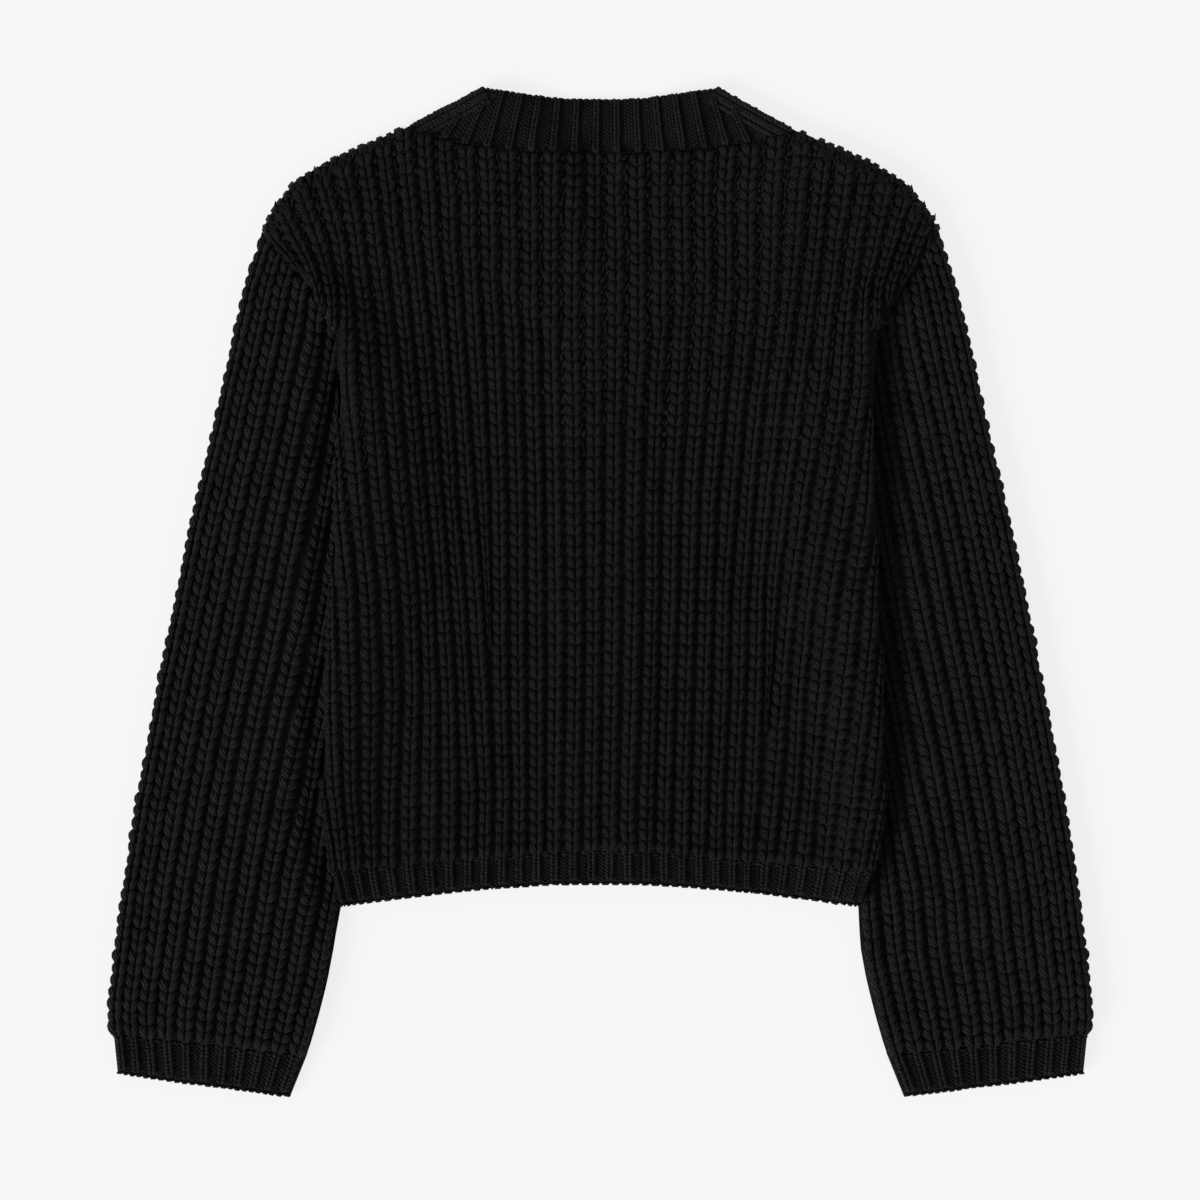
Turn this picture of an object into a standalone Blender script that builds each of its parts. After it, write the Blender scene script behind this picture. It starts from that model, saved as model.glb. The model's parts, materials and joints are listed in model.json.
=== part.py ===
"""Cropped rib-knit cardigan, buttoned and laid flat with its back upward.

Frame: X runs to the right and Y towards the neck as seen from above, Z is up, and the
floor is at Z = 0. Sizes and tables are in millimetres and become metres in `solid`.
Across the garment the tables give one half, as distances from the centre line, and the
other half is its mirror image. Each piece is a thick wall of knit: a grid of outer
points over a plainer grid of inner points, closed round its edges. The two sleeves lie
partly under the body, so the body is lifted over them (`lift`).
"""
import functools
import math

import bmesh
import bpy
import numpy as np

MM = 0.001
SEAM_GAP = 0.4
SMOOTH_ANGLE = 50.0
KNIT_ROUGHNESS = 0.9
BUTTON_ROUGHNESS = 0.35

# Thickness of the knit, in millimetres.
FRONT_WALL = 4.5
LAYER_GAP = 1.3
BODY_BASE = 3.0
RIB_RELIEF = 3.5
TRIM_BASE = 2.6
TRIM_RELIEF = 1.8
FRONT_HEM_WALL = 4.0
BAND_WALL = 3.2
BAND_WALL_AT_NECK = 4.4
SLEEVE_BASE = 8.4
CUFF_BASE = 7.2
EDGE_WALL = 1.2

# Flattened tubes, as shares of their thickness: where their edges' middles and the thin
# slot inside them lie, half the slot's height, and the share of the width beside it.
TOP_EDGE_SHARE = 0.42
UNDER_EDGE_SHARE = 0.36
SLOT_MIDDLE_SHARE = 0.45
SLOT_SHARE = 0.07
SLOT_INSET_SHARE = 0.045

# How the body rides over the sleeves. It starts to rise LIFT_START outside a sleeve's
# inner edge and is up after LIFT_WIDTH; LIFT_OUTSIDE and LIFT_INSIDE are the same across
# the armhole seam, where the rise narrows to nothing over LIFT_CORNER at the corner.
LIFT = 12.5
LIFT_GAP = 1.3
LIFT_START = 25.0
LIFT_WIDTH = 60.0
LIFT_OUTSIDE = 48.0
LIFT_INSIDE = 38.0
LIFT_CORNER = 30.0
SLOPE_GAP = 1.4
SLEEVE_FREE = 30.0
# Trough of a sleeve along the body's edge: its depth, and its reach on each side of it.
TROUGH = 4.4
TROUGH_OUTSIDE = 24.0
TROUGH_INSIDE = 22.0
TROUGH_HEIGHTS = (-235.0, -200.0, 150.0, 190.0)

# Rounding of the edges.
SIDE_ROUND = 7.0
SHOULDER_ROUND = 8.0
SEAM_ROUND = 3.0
SEAM_DIP = 1.6
FOLD_ROUND = 6.0
UNDER_ROUND = 3.5
HEM_SIDE_ROUND = 5.0

# A distance across the garment times one of these is the distance square to that edge.
SLEEVE_EDGE_COSINE = 0.98
OPENING_COSINE = 0.87
SHOULDER_COSINE = 0.85
ARMHOLE_COSINE = 0.7

# Ribs: 16 each side of the back's centre, 12 across the top of a sleeve.
BODY_RIBS = 16
SLEEVE_RIBS = 11
RIB_STEPS = ((0.0, 0.0), (0.2, 0.85), (0.5, 1.0), (0.8, 0.85))
WALE_STEPS = ((0.0, 0.0), (0.3, 1.0), (0.7, 1.0))

# Front opening: a band on each front edge, the right one lapped under the left one.
BAND_HALF = 18.8
V_START = 164.0
V_BEND = 12.0
ATTACHED_SLOPE = 0.7605
FREE_SLOPE = 0.576
BAND_STACK = 3.6
BAND_DROP = (200.0, 235.0)
BAND_SWELL = 40.0
OPENING_SAG = 24.0
OPENING_MARGIN = 8.0
# Where the back rides over the two lapped bands: gap, then its shape beside them.
STACK_GAP = 0.4
STACK_REACH = 3.0
STACK_SPREAD = 0.8
STACK_SLOPE = 16.0

BUTTON_COUNT = 5
BUTTON_RADIUS = 9.0
BUTTON_THICKNESS = 2.0
BUTTON_CLEARANCE = 0.3
BUTTON_FIRST_Y = -150.0
BUTTON_PITCH = 70.0
BUTTON_SIDES = 20

KNIT_COLOUR = (0.012, 0.012, 0.013)
TRIM_COLOUR = (0.011, 0.011, 0.012)
BUTTON_COLOUR = (0.015, 0.014, 0.014)

# Distance of the rib lines from the centre line, at heights along the body.
# height, then the lines after ribs 4, 8, 12, 13, 14, 15, and the side edge.
RIB_NUMBERS = (0, 4, 8, 12, 13, 14, 15, 16)
RIB_LINES = (
    (-204.3, 48.2, 93.1, 141.6, 152.5, 161.7, 168.0, 170.9),
    (-181.2, 47.9, 93.1, 146.2, 157.1, 167.3, 174.2, 178.9),
    (-136.3, 47.9, 92.7, 146.8, 159.7, 170.6, 180.2, 185.8),
    (-57.1, 48.5, 96.0, 147.2, 159.7, 171.3, 178.2, 183.5),
    (35.3, 49.8, 96.7, 145.9, 158.4, 168.6, 174.9, 179.8),
    (127.7, 51.2, 96.8, 144.2, 157.1, 166.3, 171.9, 176.2),
    (160.7, 52.1, 99.0, 146.8, 159.5, 168.3, 173.2, 177.4),
    (170.6, 52.4, 100.0, 147.5, 160.5, 169.5, 174.8, 177.6),
    (193.7, 53.1, 102.3, 149.5, 163.3, 173.6, 181.2, 190.1),
    (215.5, 53.8, 103.6, 151.8, 165.0, 176.6, 188.0, 206.3),
    (236.0, 54.5, 104.6, 154.6, 167.0, 180.4, 194.6, 223.1),
    (259.7, 55.1, 105.9, 159.4, 173.6, 188.1, 205.0, 240.0),
    (292.7, 55.8, 106.9, 165.0, 182.2, 200.0, 221.0, 264.0),
)

# How far the middle ribs of the back lean to the right at a height.
RIB_LEAN = ((-170.0, 0.0), (75.0, 2.6), (265.0, 3.0))

# Top edge of the body: the neck seam out to the neck point, then the shoulder.
NECK_POINT = (130.7, 306.6)
SHOULDER_POINT = (223.1, 236.0)
BODY_TOP = (
    (0.0, 289.4), (39.6, 290.1), (66.0, 291.4), (99.0, 297.3), (112.2, 301.3),
    NECK_POINT, (140.6, 301.9), (153.5, 296.7), (177.2, 286.1), (195.4, 275.6),
    (202.6, 270.3), (210.9, 259.7), (216.8, 251.8), (220.8, 243.9), SHOULDER_POINT,
)

# Where the hem band joins the body, and its lower edge: distance out, height.
HEM_SEAM = (
    (0.0, -169.3), (33.0, -170.6), (66.0, -173.2), (99.0, -176.6), (132.0, -179.2),
    (165.0, -181.8), (178.9, -183.2),
)
HEM_EDGE = (
    (0.0, -191.1), (26.4, -191.4), (52.8, -193.1), (79.2, -195.0), (105.6, -197.7),
    (132.0, -201.0), (158.4, -204.3), (170.9, -205.6),
)
HEM_LENGTH = 22.0

# Neckband: its top edge from the centre out to the corner, then the fold to the neck point.
NECK_EDGE = (
    (0.0, 326.4), (26.4, 327.0), (52.8, 329.7), (66.0, 331.7), (78.9, 333.6),
    (88.1, 328.4), (104.0, 317.8), (128.5, 307.6),
)
NECK_CORNER = 4
NECK_MIDDLE = 4.0
NECK_WALE = 14.4
# Wale number from the middle, then its distance along the top edge, left and right.
NECK_FAN = (
    (0.0, 0.0, 0.0),
    (1.5, 19.5, 19.5),
    (3.5, 45.2, 45.2),
    (5.5, 69.0, 69.0),
    (6.5, 78.2, 78.2),
    (7.5, 87.0, 95.7),
    (8.5, 112.0, 121.0),
    (9.3, 138.0, 129.0),
)
NECK_WALES = {-1: 9.2, 1: 8.7}

# Sleeve: its outer edge, and its inner edge, which the body hides above the hem.
SLEEVE_OUTER = (
    (236.0, 223.7), (222.8, 227.7), (200.3, 235.0), (160.7, 244.2), (101.3, 257.4),
    (41.9, 271.3), (-17.5, 283.5), (-76.9, 295.0), (-136.3, 305.9), (-195.7, 315.2),
    (-235.3, 320.1), (-261.7, 323.4), (-278.2, 324.4), (-290.1, 322.7),
)
SLEEVE_INNER = (
    (170.6, 99.0), (101.3, 110.9), (-17.5, 132.0), (-96.7, 150.5), (-182.5, 167.6),
    (-205.6, 170.9), (-235.3, 174.2), (-255.1, 177.9), (-274.9, 182.8), (-294.7, 188.4),
    (-304.6, 191.7),
)
# The right sleeve's inner edge lies a little nearer the middle than the left one's.
INNER_SHIFT = {-1: 2.3, 1: -2.3}
INNER_SHIFT_HEIGHTS = (-190.0, -240.0)
ARMHOLE = (
    (98.0, 88.0), (110.9, 101.3), (177.6, 170.6), (190.1, 193.7), (206.3, 215.5),
    SHOULDER_POINT,
)
ARMHOLE_CORNER = (177.6, 170.6)
# Share of the width of a sleeve or cuff at which each rib starts, from its outer edge.
SLEEVE_RIB_STARTS = (
    (0, 0.0), (1, 0.068), (2, 0.142), (3, 0.227), (4, 0.322), (5, 0.417), (6, 0.516),
    (7, 0.615), (8, 0.709), (9, 0.804), (10, 0.896), (11, 1.0),
)
SLEEVE_END = ((0.0, -290.1), (1.0, -304.6))
CUFF_EDGE = (
    (0.0, 316.5, -316.8), (0.27, 282.5, -321.8), (0.55, 250.8, -325.7),
    (0.92, 211.2, -331.0), (1.0, 202.5, -331.7),
)
CUFF_WIDTH = 125.0
CUFF_STEP = 2.0

# Half way between the highest and the lowest point, which is Y = 0 in the frame.
MIDDLE_Y = 0.5 * (NECK_EDGE[NECK_CORNER][1] + CUFF_EDGE[-1][2])

# Rows along the pieces, as shares of their length or as heights.
BODY_ROWS = (0.0, 0.01, 0.16, 0.34, 0.52, 0.65, 0.74, 0.8, 0.825, 0.844, 0.8664, 0.8992,
             0.9307, 0.962, 0.985, 1.0)
BODY_LINING_STEPS = (0, 1, 2, 3, 4, 5, 6, 7, 8, 9, 10, 11, 12, 12.5, 13, 13.5, 14, 14.5, 15, 15.5, 16)
# Height at the front band, then at the side, of each row across a front.
FRONT_ROWS = (
    (-169.8, -183.2), (-105.0, -120.0), (-40.0, -50.0), (20.0, 20.0), (60.0, 60.0),
    (90.0, 90.0), (115.0, 115.0), (135.0, 137.0), (150.0, 155.0), (164.0, 170.6),
    (180.0, 180.0), (200.0, 193.7), (225.0, 206.9), (255.0, 220.0), (285.0, 231.0),
    (306.6, 236.0),
)
FRONT_STEPS = (0.0, 0.2, 0.4, 0.5, 0.58, 0.65, 0.72, 0.78, 0.84, 0.89, 0.94, 0.975, 1.0)
BULGE_START = 0.6
HEM_ROWS = (0.0, 0.08, 0.9, 1.0)
FRONT_HEM_STEPS = (0.0, 0.12, 0.3, 0.5, 0.62, 0.72, 0.8, 0.86, 0.92, 0.96, 1.0)
NECK_ROWS = (0.0, 0.06, 0.94, 1.0)
BAND_STEPS = (0.0, 0.31, 0.67, 1.0)
CUFF_ROWS = (0.0, 0.08, 0.92, 1.0)
SLEEVE_ROWS = (0.0, 0.01, 0.09, 0.17, 0.25, 0.34, 0.43, 0.53, 0.63, 0.73, 0.82, 0.91,
               0.975, 1.0)
SLEEVE_LINING_STEPS = (0.0, 0.03, 0.2, 0.4, 0.55, 0.7, 0.82, 0.92, 0.97, 1.0)


def smooth(value):
    """Smooth step from 0 to 1."""
    t = np.clip(value, 0.0, 1.0)
    return t * t * (3.0 - 2.0 * t)


def curve(table, value, key=0, result=1):
    """Reads a table of rows at a value of its key column."""
    rows = sorted(table, key=lambda row: row[key])
    return float(np.interp(value, [row[key] for row in rows], [row[result] for row in rows]))


def edge_drop(distance, radius, depth):
    """How far a rounded edge has dropped at a distance inside it."""
    t = min(max(distance / radius, 0.0), 1.0)
    return depth * (1.0 - math.sqrt(1.0 - (1.0 - t) ** 2))


# ---------------------------------------------------------------- plan shapes

def rib_x(line, height):
    """Distance from the centre of a rib line at a height."""
    row = [curve(RIB_LINES, height, 0, column) for column in range(1, len(RIB_NUMBERS))]
    return float(np.interp(line, RIB_NUMBERS, [0.0] + row))


def side_x(height):
    """Half width of the body at a height."""
    return rib_x(BODY_RIBS, height)


def back_x(line, height):
    """Place across the back of a rib line, which is below 0 on the left half."""
    lean = curve(RIB_LEAN, height) * (1.0 - (line / BODY_RIBS) ** 2)
    return math.copysign(rib_x(abs(line), height), line) + lean


def find_height(place, target, low, high):
    """Height at which a path meets an edge that is given as a height at each distance."""
    for _ in range(40):
        middle = 0.5 * (low + high)
        if middle < target(place(middle)):
            low = middle
        else:
            high = middle
    return 0.5 * (low + high)


def body_top(x):
    return curve(BODY_TOP, x)


def sleeve_x(share, height, side):
    """Distance from the centre at a share of the way from a sleeve's outer edge to its inner."""
    outer = curve(SLEEVE_OUTER, height)
    start, end = INNER_SHIFT_HEIGHTS
    shift = INNER_SHIFT[side] * float(smooth((start - height) / (start - end)))
    inner = curve(SLEEVE_INNER, height) + shift
    return outer + share * (inner - outer)


def opening_bend(height):
    """Rises smoothly from 0 where the front edges start to part for the neck."""
    above = height - V_START
    return 0.5 * (above + math.hypot(above, V_BEND))


def attached_x(height):
    """Distance from the centre of the seam between a front and its band."""
    return BAND_HALF + ATTACHED_SLOPE * opening_bend(height)


def free_x(height):
    """Distance from the centre of a band's free edge, less than 0 past the centre."""
    return FREE_SLOPE * opening_bend(height) - BAND_HALF


# ---------------------------------------------------------------- heights of the layers

def lift(x, y, side):
    """Height of the underside of the body, which lies over the sleeves."""
    out = abs(x)
    inside = (out - sleeve_x(1.0, y, side)) * SLEEVE_EDGE_COSINE
    over_edge = smooth((inside + LIFT_START) / LIFT_WIDTH)
    corner_x, corner_y = ARMHOLE_CORNER
    (x0, y0), (x1, y1) = ARMHOLE[1], ARMHOLE_CORNER
    length = math.hypot(x1 - x0, y1 - y0)
    below = ((out - x0) * (y1 - y0) - (y - y0) * (x1 - x0)) / length
    width = LIFT_INSIDE * min(max((corner_x - out) / LIFT_CORNER, 0.0), 1.0)
    over_end = smooth((below + LIFT_OUTSIDE) / (LIFT_OUTSIDE + width))
    shoulder_y = SHOULDER_POINT[1]
    up_seam = smooth((shoulder_y - y) / (shoulder_y - corner_y))
    return LIFT * float(over_edge * over_end * up_seam)


def band_raise(y):
    """How far the lapping band still lies above the other one."""
    low, high = BAND_DROP
    return 1.0 - float(smooth((y - low) / (high - low)))


def band_wall(y):
    """Thickness of a front band, which is pressed thin where two of them lie together."""
    share = float(smooth((y - BAND_DROP[1]) / BAND_SWELL))
    return BAND_WALL + share * (BAND_WALL_AT_NECK - BAND_WALL)


def support(x, y):
    """Height of the underside of the back, on the fronts or in the neck opening."""
    out = abs(x)
    side = 1 if x >= 0.0 else -1
    inside_opening = (free_x(y) - out) * OPENING_COSINE
    cover = 1.0 - float(smooth((inside_opening - OPENING_MARGIN) / OPENING_SAG))
    stack = BAND_STACK + BAND_WALL - FRONT_WALL + STACK_GAP
    reach = BAND_HALF + STACK_REACH + STACK_SPREAD * max(y - V_START, 0.0)
    stacked = stack * (1.0 - float(smooth((out - reach) / STACK_SLOPE))) * band_raise(y)
    raised = lift(x, y, side)
    slope_gap = SLOPE_GAP * 4.0 * (raised / LIFT) * (1.0 - raised / LIFT)
    return raised + slope_gap + cover * (FRONT_WALL + LAYER_GAP) + stacked


# ---------------------------------------------------------------- mesh helpers

def material(name, colour, roughness):
    made = bpy.data.materials.new(name)
    made.use_nodes = True
    shader = made.node_tree.nodes["Principled BSDF"]
    shader.inputs["Base Color"].default_value = (*colour, 1.0)
    shader.inputs["Roughness"].default_value = roughness
    shader.inputs["Metallic"].default_value = 0.0
    made.diffuse_color = (*colour, 1.0)
    return made


def zip_strips(bm, first, first_shares, second, second_shares):
    """Fills the strip between two rows of points whose counts differ."""
    i = 0
    j = 0
    while i < len(first) - 1 or j < len(second) - 1:
        next_first = first_shares[i + 1] if i < len(first) - 1 else math.inf
        next_second = second_shares[j + 1] if j < len(second) - 1 else math.inf
        if next_first <= next_second:
            bm.faces.new((first[i], first[i + 1], second[j]))
            i += 1
        else:
            bm.faces.new((first[i], second[j + 1], second[j]))
            j += 1


def grid_faces(bm, rows):
    """Faces between neighbouring rows of points, split into triangles."""
    for low, high in zip(rows, rows[1:]):
        for k in range(len(low) - 1):
            bm.faces.new((low[k], low[k + 1], high[k + 1]))
            bm.faces.new((low[k], high[k + 1], high[k]))


def solid(name, bm, colour, roughness):
    """Turns millimetres into metres, faces outward, and links the piece to the scene."""
    bmesh.ops.recalc_face_normals(bm, faces=bm.faces)
    bmesh.ops.translate(bm, verts=bm.verts, vec=(0.0, -MIDDLE_Y, 0.0))
    bmesh.ops.scale(bm, verts=bm.verts, vec=(MM, MM, MM))
    mesh = bpy.data.meshes.new(name)
    bm.to_mesh(mesh)
    bm.free()
    mesh.shade_smooth()
    mesh.set_sharp_from_angle(angle=math.radians(SMOOTH_ANGLE))
    made = bpy.data.objects.new(name, mesh)
    made.data.materials.append(material(name + "_material", colour, roughness))
    bpy.context.scene.collection.objects.link(made)
    return made


def add_rows(bm, rows):
    return [[bm.verts.new(point) for point in row] for row in rows]


def wall(name, outer, outer_shares, inner, inner_shares, colour=KNIT_COLOUR):
    """A wall of knit: outer and inner grids with as many rows, closed round the edges."""
    bm = bmesh.new()
    top = add_rows(bm, outer)
    under = add_rows(bm, inner)
    grid_faces(bm, top)
    grid_faces(bm, under)
    for column in (0, -1):
        grid_faces(bm, [[row[column] for row in top], [row[column] for row in under]])
    for row in (0, -1):
        zip_strips(bm, top[row], outer_shares, under[row], inner_shares)
    return solid(name, bm, colour, KNIT_ROUGHNESS)


def flat_tube(name, top, top_shares, under, slot_top, slot_under, shares, colour):
    """A flattened tube, open at both ends: top and under faces round a thin slot."""
    bm = bmesh.new()
    rows = [add_rows(bm, grid) for grid in (top, under, slot_top, slot_under)]
    top_rows, under_rows, slot_top_rows, slot_under_rows = rows
    for grid in rows:
        grid_faces(bm, grid)
    for column in (0, -1):
        for upper, lower in ((top_rows, under_rows), (slot_top_rows, slot_under_rows)):
            grid_faces(bm, [[row[column] for row in upper], [row[column] for row in lower]])
    for row in (0, -1):
        upper = slot_top_rows[row]
        lower = slot_under_rows[row]
        zip_strips(bm, top_rows[row], top_shares, upper, shares)
        zip_strips(bm, under_rows[row], shares, lower, shares)
        for column in (0, -1):
            corner = (top_rows[row][column], under_rows[row][column])
            bm.faces.new((corner[0], corner[1], lower[column], upper[column]))
    return solid(name, bm, colour, KNIT_ROUGHNESS)


def steps_with_relief(count, steps, start=0):
    """Rib lines from start to start + count, each rib in steps, with the relief at each."""
    lines = []
    for rib in range(start, start + count):
        lines += [(rib + share, relief) for share, relief in steps]
    lines.append((start + count, 0.0))
    return lines


# ---------------------------------------------------------------- body

@functools.lru_cache(maxsize=None)
def body_path(line):
    """Lowest and highest height of a rib line on the back."""
    def place(height):
        return abs(back_x(line, height))

    low = find_height(place, lambda x: curve(HEM_SEAM, x), -215.0, -150.0)
    high = find_height(place, body_top, 200.0, 320.0)
    return low + 0.5 * SEAM_GAP, high


def back_plan(line, share):
    """Plan point of the back: share is 0 at its hem and 1 at its top edge."""
    low, high = body_path(line)
    y = low + share * (high - low)
    return back_x(line, y), y


def back_under(line, share):
    x, y = back_plan(line, share)
    return x, y, support(x, y)


def back_outer(line, share, relief):
    """Outer face of the back, with its ribs raised and its edges rounded."""
    low, high = body_path(line)
    x, y = back_plan(line, share)
    full = BODY_BASE + relief * RIB_RELIEF
    if abs(back_x(line, high)) < NECK_POINT[0]:
        top_drop = edge_drop(high - y, SEAM_ROUND, SEAM_DIP)
    else:
        top_drop = edge_drop((high - y) * SHOULDER_COSINE, SHOULDER_ROUND, full - EDGE_WALL)
    drop = max(
        top_drop,
        edge_drop(side_x(y) - abs(x), SIDE_ROUND, full - EDGE_WALL),
        edge_drop(y - low, SEAM_ROUND, SEAM_DIP),
    )
    return x, y, support(x, y) + max(full - drop, EDGE_WALL)


def make_back():
    lines = steps_with_relief(2 * BODY_RIBS, RIB_STEPS, -BODY_RIBS)
    lining = [-step for step in reversed(BODY_LINING_STEPS[1:])] + list(BODY_LINING_STEPS)
    outer = [[back_outer(line, share, relief) for line, relief in lines] for share in BODY_ROWS]
    inner = [[back_under(line, share) for line in lining] for share in BODY_ROWS]
    wall("back", outer, [line for line, _ in lines], inner, lining)


def front_point(side, row, step):
    """Plan point on a front: step is 0 at its band and 1 at the side."""
    near_y, far_y = FRONT_ROWS[row]
    near = np.array((attached_x(near_y) + 0.5 * SEAM_GAP, near_y))
    far = np.array((side_x(far_y), far_y))
    point = near + step * (far - near)
    along = row / (len(FRONT_ROWS) - 1)
    if row == 0:
        point[1] = curve(HEM_SEAM, point[0]) + 0.5 * SEAM_GAP
    if row == len(FRONT_ROWS) - 1:
        point[0] = near[0] + step * (far[0] - near[0])
        point[1] = body_top(point[0])
    elif along > BULGE_START:
        top_y = FRONT_ROWS[-1][0]
        x_on_top = attached_x(top_y) + step * (SHOULDER_POINT[0] - attached_x(top_y))
        chord_y = top_y + step * (SHOULDER_POINT[1] - top_y)
        bulge = body_top(x_on_top) - chord_y
        point[1] += bulge * ((along - BULGE_START) / (1.0 - BULGE_START)) ** 2
    return side * point[0], point[1]


def make_front(name, side):
    """A front: a plain wall, flat underneath, rounded along its side and shoulder."""
    outer = []
    inner = []
    for row in range(len(FRONT_ROWS)):
        upper = []
        lower = []
        for step in FRONT_STEPS:
            x, y = front_point(side, row, step)
            base = lift(x, y, side)
            to_side = side_x(y) - abs(x)
            to_top = (body_top(abs(x)) - y) * SHOULDER_COSINE
            rise = max(edge_drop(to_side, UNDER_ROUND, UNDER_ROUND),
                       edge_drop(to_top, UNDER_ROUND, UNDER_ROUND))
            upper.append((x, y, base + FRONT_WALL))
            lower.append((x, y, base + rise))
        outer.append(upper)
        inner.append(lower)
    wall(name, outer, FRONT_STEPS, inner, FRONT_STEPS)


def hem_point(line, share):
    """Plan point on the hem: share is 0 at its seam and 1 at its lower edge."""
    low, _ = body_path(abs(line))
    x_seam = rib_x(abs(line), low)
    x_edge = rib_x(abs(line), HEM_EDGE[-1][1])
    x = x_seam + share * (x_edge - x_seam)
    y_seam = curve(HEM_SEAM, x_seam) - 0.5 * SEAM_GAP
    y = y_seam + share * (curve(HEM_EDGE, x_edge) - y_seam)
    return math.copysign(x, line), y


def hem_height(x, y, share, full):
    """Height of a hem's outer face over what it lies on, rounded at its edges."""
    drop = max(
        edge_drop(side_x(y) - abs(x), HEM_SIDE_ROUND, full - EDGE_WALL),
        edge_drop(share * HEM_LENGTH, SEAM_ROUND, SEAM_DIP),
        edge_drop((1.0 - share) * HEM_LENGTH, SEAM_ROUND, SEAM_DIP),
    )
    return full - drop


def make_back_hem():
    lines = steps_with_relief(2 * BODY_RIBS, WALE_STEPS, -BODY_RIBS)
    lining = [-step for step in reversed(BODY_LINING_STEPS[1:])] + list(BODY_LINING_STEPS)
    outer = []
    inner = []
    for share in HEM_ROWS:
        row = []
        for line, relief in lines:
            x, y = hem_point(line, share)
            height = hem_height(x, y, share, TRIM_BASE + relief * TRIM_RELIEF)
            row.append((x, y, support(x, y) + height))
        outer.append(row)
        plan = [hem_point(line, share) for line in lining]
        inner.append([(x, y, support(x, y)) for x, y in plan])
    wall("hem_back", outer, [line for line, _ in lines], inner, lining, TRIM_COLOUR)


def make_front_hem(name, side):
    """Hem of a front, from its band out to the side."""
    band_x = BAND_HALF + 0.5 * SEAM_GAP
    start = band_x / rib_x(1.0, HEM_SEAM[0][1])
    lines = [side * (start + share * (BODY_RIBS - start)) for share in FRONT_HEM_STEPS]
    outer = []
    inner = []
    for share in HEM_ROWS:
        points = [hem_point(line, share) for line in lines]
        points[0] = (side * band_x, points[0][1])
        outer.append([(x, y, lift(x, y, side) + FRONT_HEM_WALL) for x, y in points])
        inner.append([(x, y, lift(x, y, side)) for x, y in points])
    wall(name, outer, FRONT_HEM_STEPS, inner, FRONT_HEM_STEPS, TRIM_COLOUR)


# ---------------------------------------------------------------- neckband and front bands

def along_line(points, distance):
    """Point at a distance along a line of points."""
    spans = [math.dist(a, b) for a, b in zip(points, points[1:])]
    reach = np.concatenate(([0.0], np.cumsum(spans)))
    x = float(np.interp(distance, reach, [point[0] for point in points]))
    y = float(np.interp(distance, reach, [point[1] for point in points]))
    return x, y


def neck_point(wale, share):
    """Plan point on the neckband: share is 0 at its seam and 1 at its top edge."""
    side = 1 if wale >= 0.0 else -1
    seam_x = NECK_MIDDLE + NECK_WALE * wale
    seam = (seam_x, body_top(min(abs(seam_x), NECK_POINT[0] - 0.5)) + SEAM_GAP)
    distance = curve(NECK_FAN, abs(wale), 0, 1 if side < 0 else 2)
    edge = [(side * x, y) for x, y in NECK_EDGE]
    x, y = along_line([(NECK_MIDDLE, NECK_EDGE[0][1])] + edge[1:], distance)
    return seam[0] + share * (x - seam[0]), seam[1] + share * (y - seam[1])


def fold_distance(x, y):
    """Distance inside the line where the neckband folds over to the front."""
    (x0, y0), (x1, y1) = NECK_EDGE[NECK_CORNER], NECK_EDGE[-1]
    length = math.hypot(x1 - x0, y1 - y0)
    return -((abs(x) - x0) * -(y1 - y0) + (y - y0) * (x1 - x0)) / length


def neck_lines():
    """Wale places along the neckband, from its left end to its right, with their relief."""
    left, right = -NECK_WALES[-1], NECK_WALES[1]
    lines = [(left, 0.0)]
    for wale in range(math.ceil(left), math.ceil(right)):
        lines += [(wale + share, relief) for share, relief in WALE_STEPS
                  if left < wale + share < right]
    lines.append((right, 0.0))
    return lines


def neck_height(wale, share, full):
    """Height of the neckband's outer face over what it lies on, rounded at its edges."""
    x, y = neck_point(wale, share)
    length = math.dist(neck_point(wale, 0.0), neck_point(wale, 1.0))
    drop = max(
        edge_drop(share * length, SEAM_ROUND, SEAM_DIP),
        edge_drop((1.0 - share) * length, SEAM_ROUND, SEAM_DIP),
        edge_drop(fold_distance(x, y), FOLD_ROUND, full - EDGE_WALL),
    )
    return full - drop


def make_neckband():
    lines = neck_lines()
    lining = [wale for wale, _ in lines[::2]]
    if lining[-1] != lines[-1][0]:
        lining.append(lines[-1][0])
    outer = []
    inner = []
    for share in NECK_ROWS:
        row = []
        for wale, relief in lines:
            x, y = neck_point(wale, share)
            height = neck_height(wale, share, TRIM_BASE + relief * TRIM_RELIEF)
            row.append((x, y, support(x, y) + height))
        outer.append(row)
        plan = [neck_point(wale, share) for wale in lining]
        inner.append([(x, y, support(x, y)) for x, y in plan])
    wall("neckband_back", outer, [wale for wale, _ in lines], inner, lining, TRIM_COLOUR)


def band_rows():
    """Height at the seam and at the free edge of each row of a front band."""
    first = (HEM_EDGE[0][1], HEM_EDGE[0][1])
    last_seam = NECK_EDGE[-1][1]
    last_free = NECK_EDGE[NECK_CORNER][1]
    rows = [first]
    for near_y, _ in FRONT_ROWS[1:-1]:
        above = max(near_y - V_START, 0.0)
        stretch = (last_free - V_START) / (last_seam - V_START)
        rows.append((near_y, near_y + above * (stretch - 1.0)))
    rows.append((last_seam, last_free))
    return rows


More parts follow.
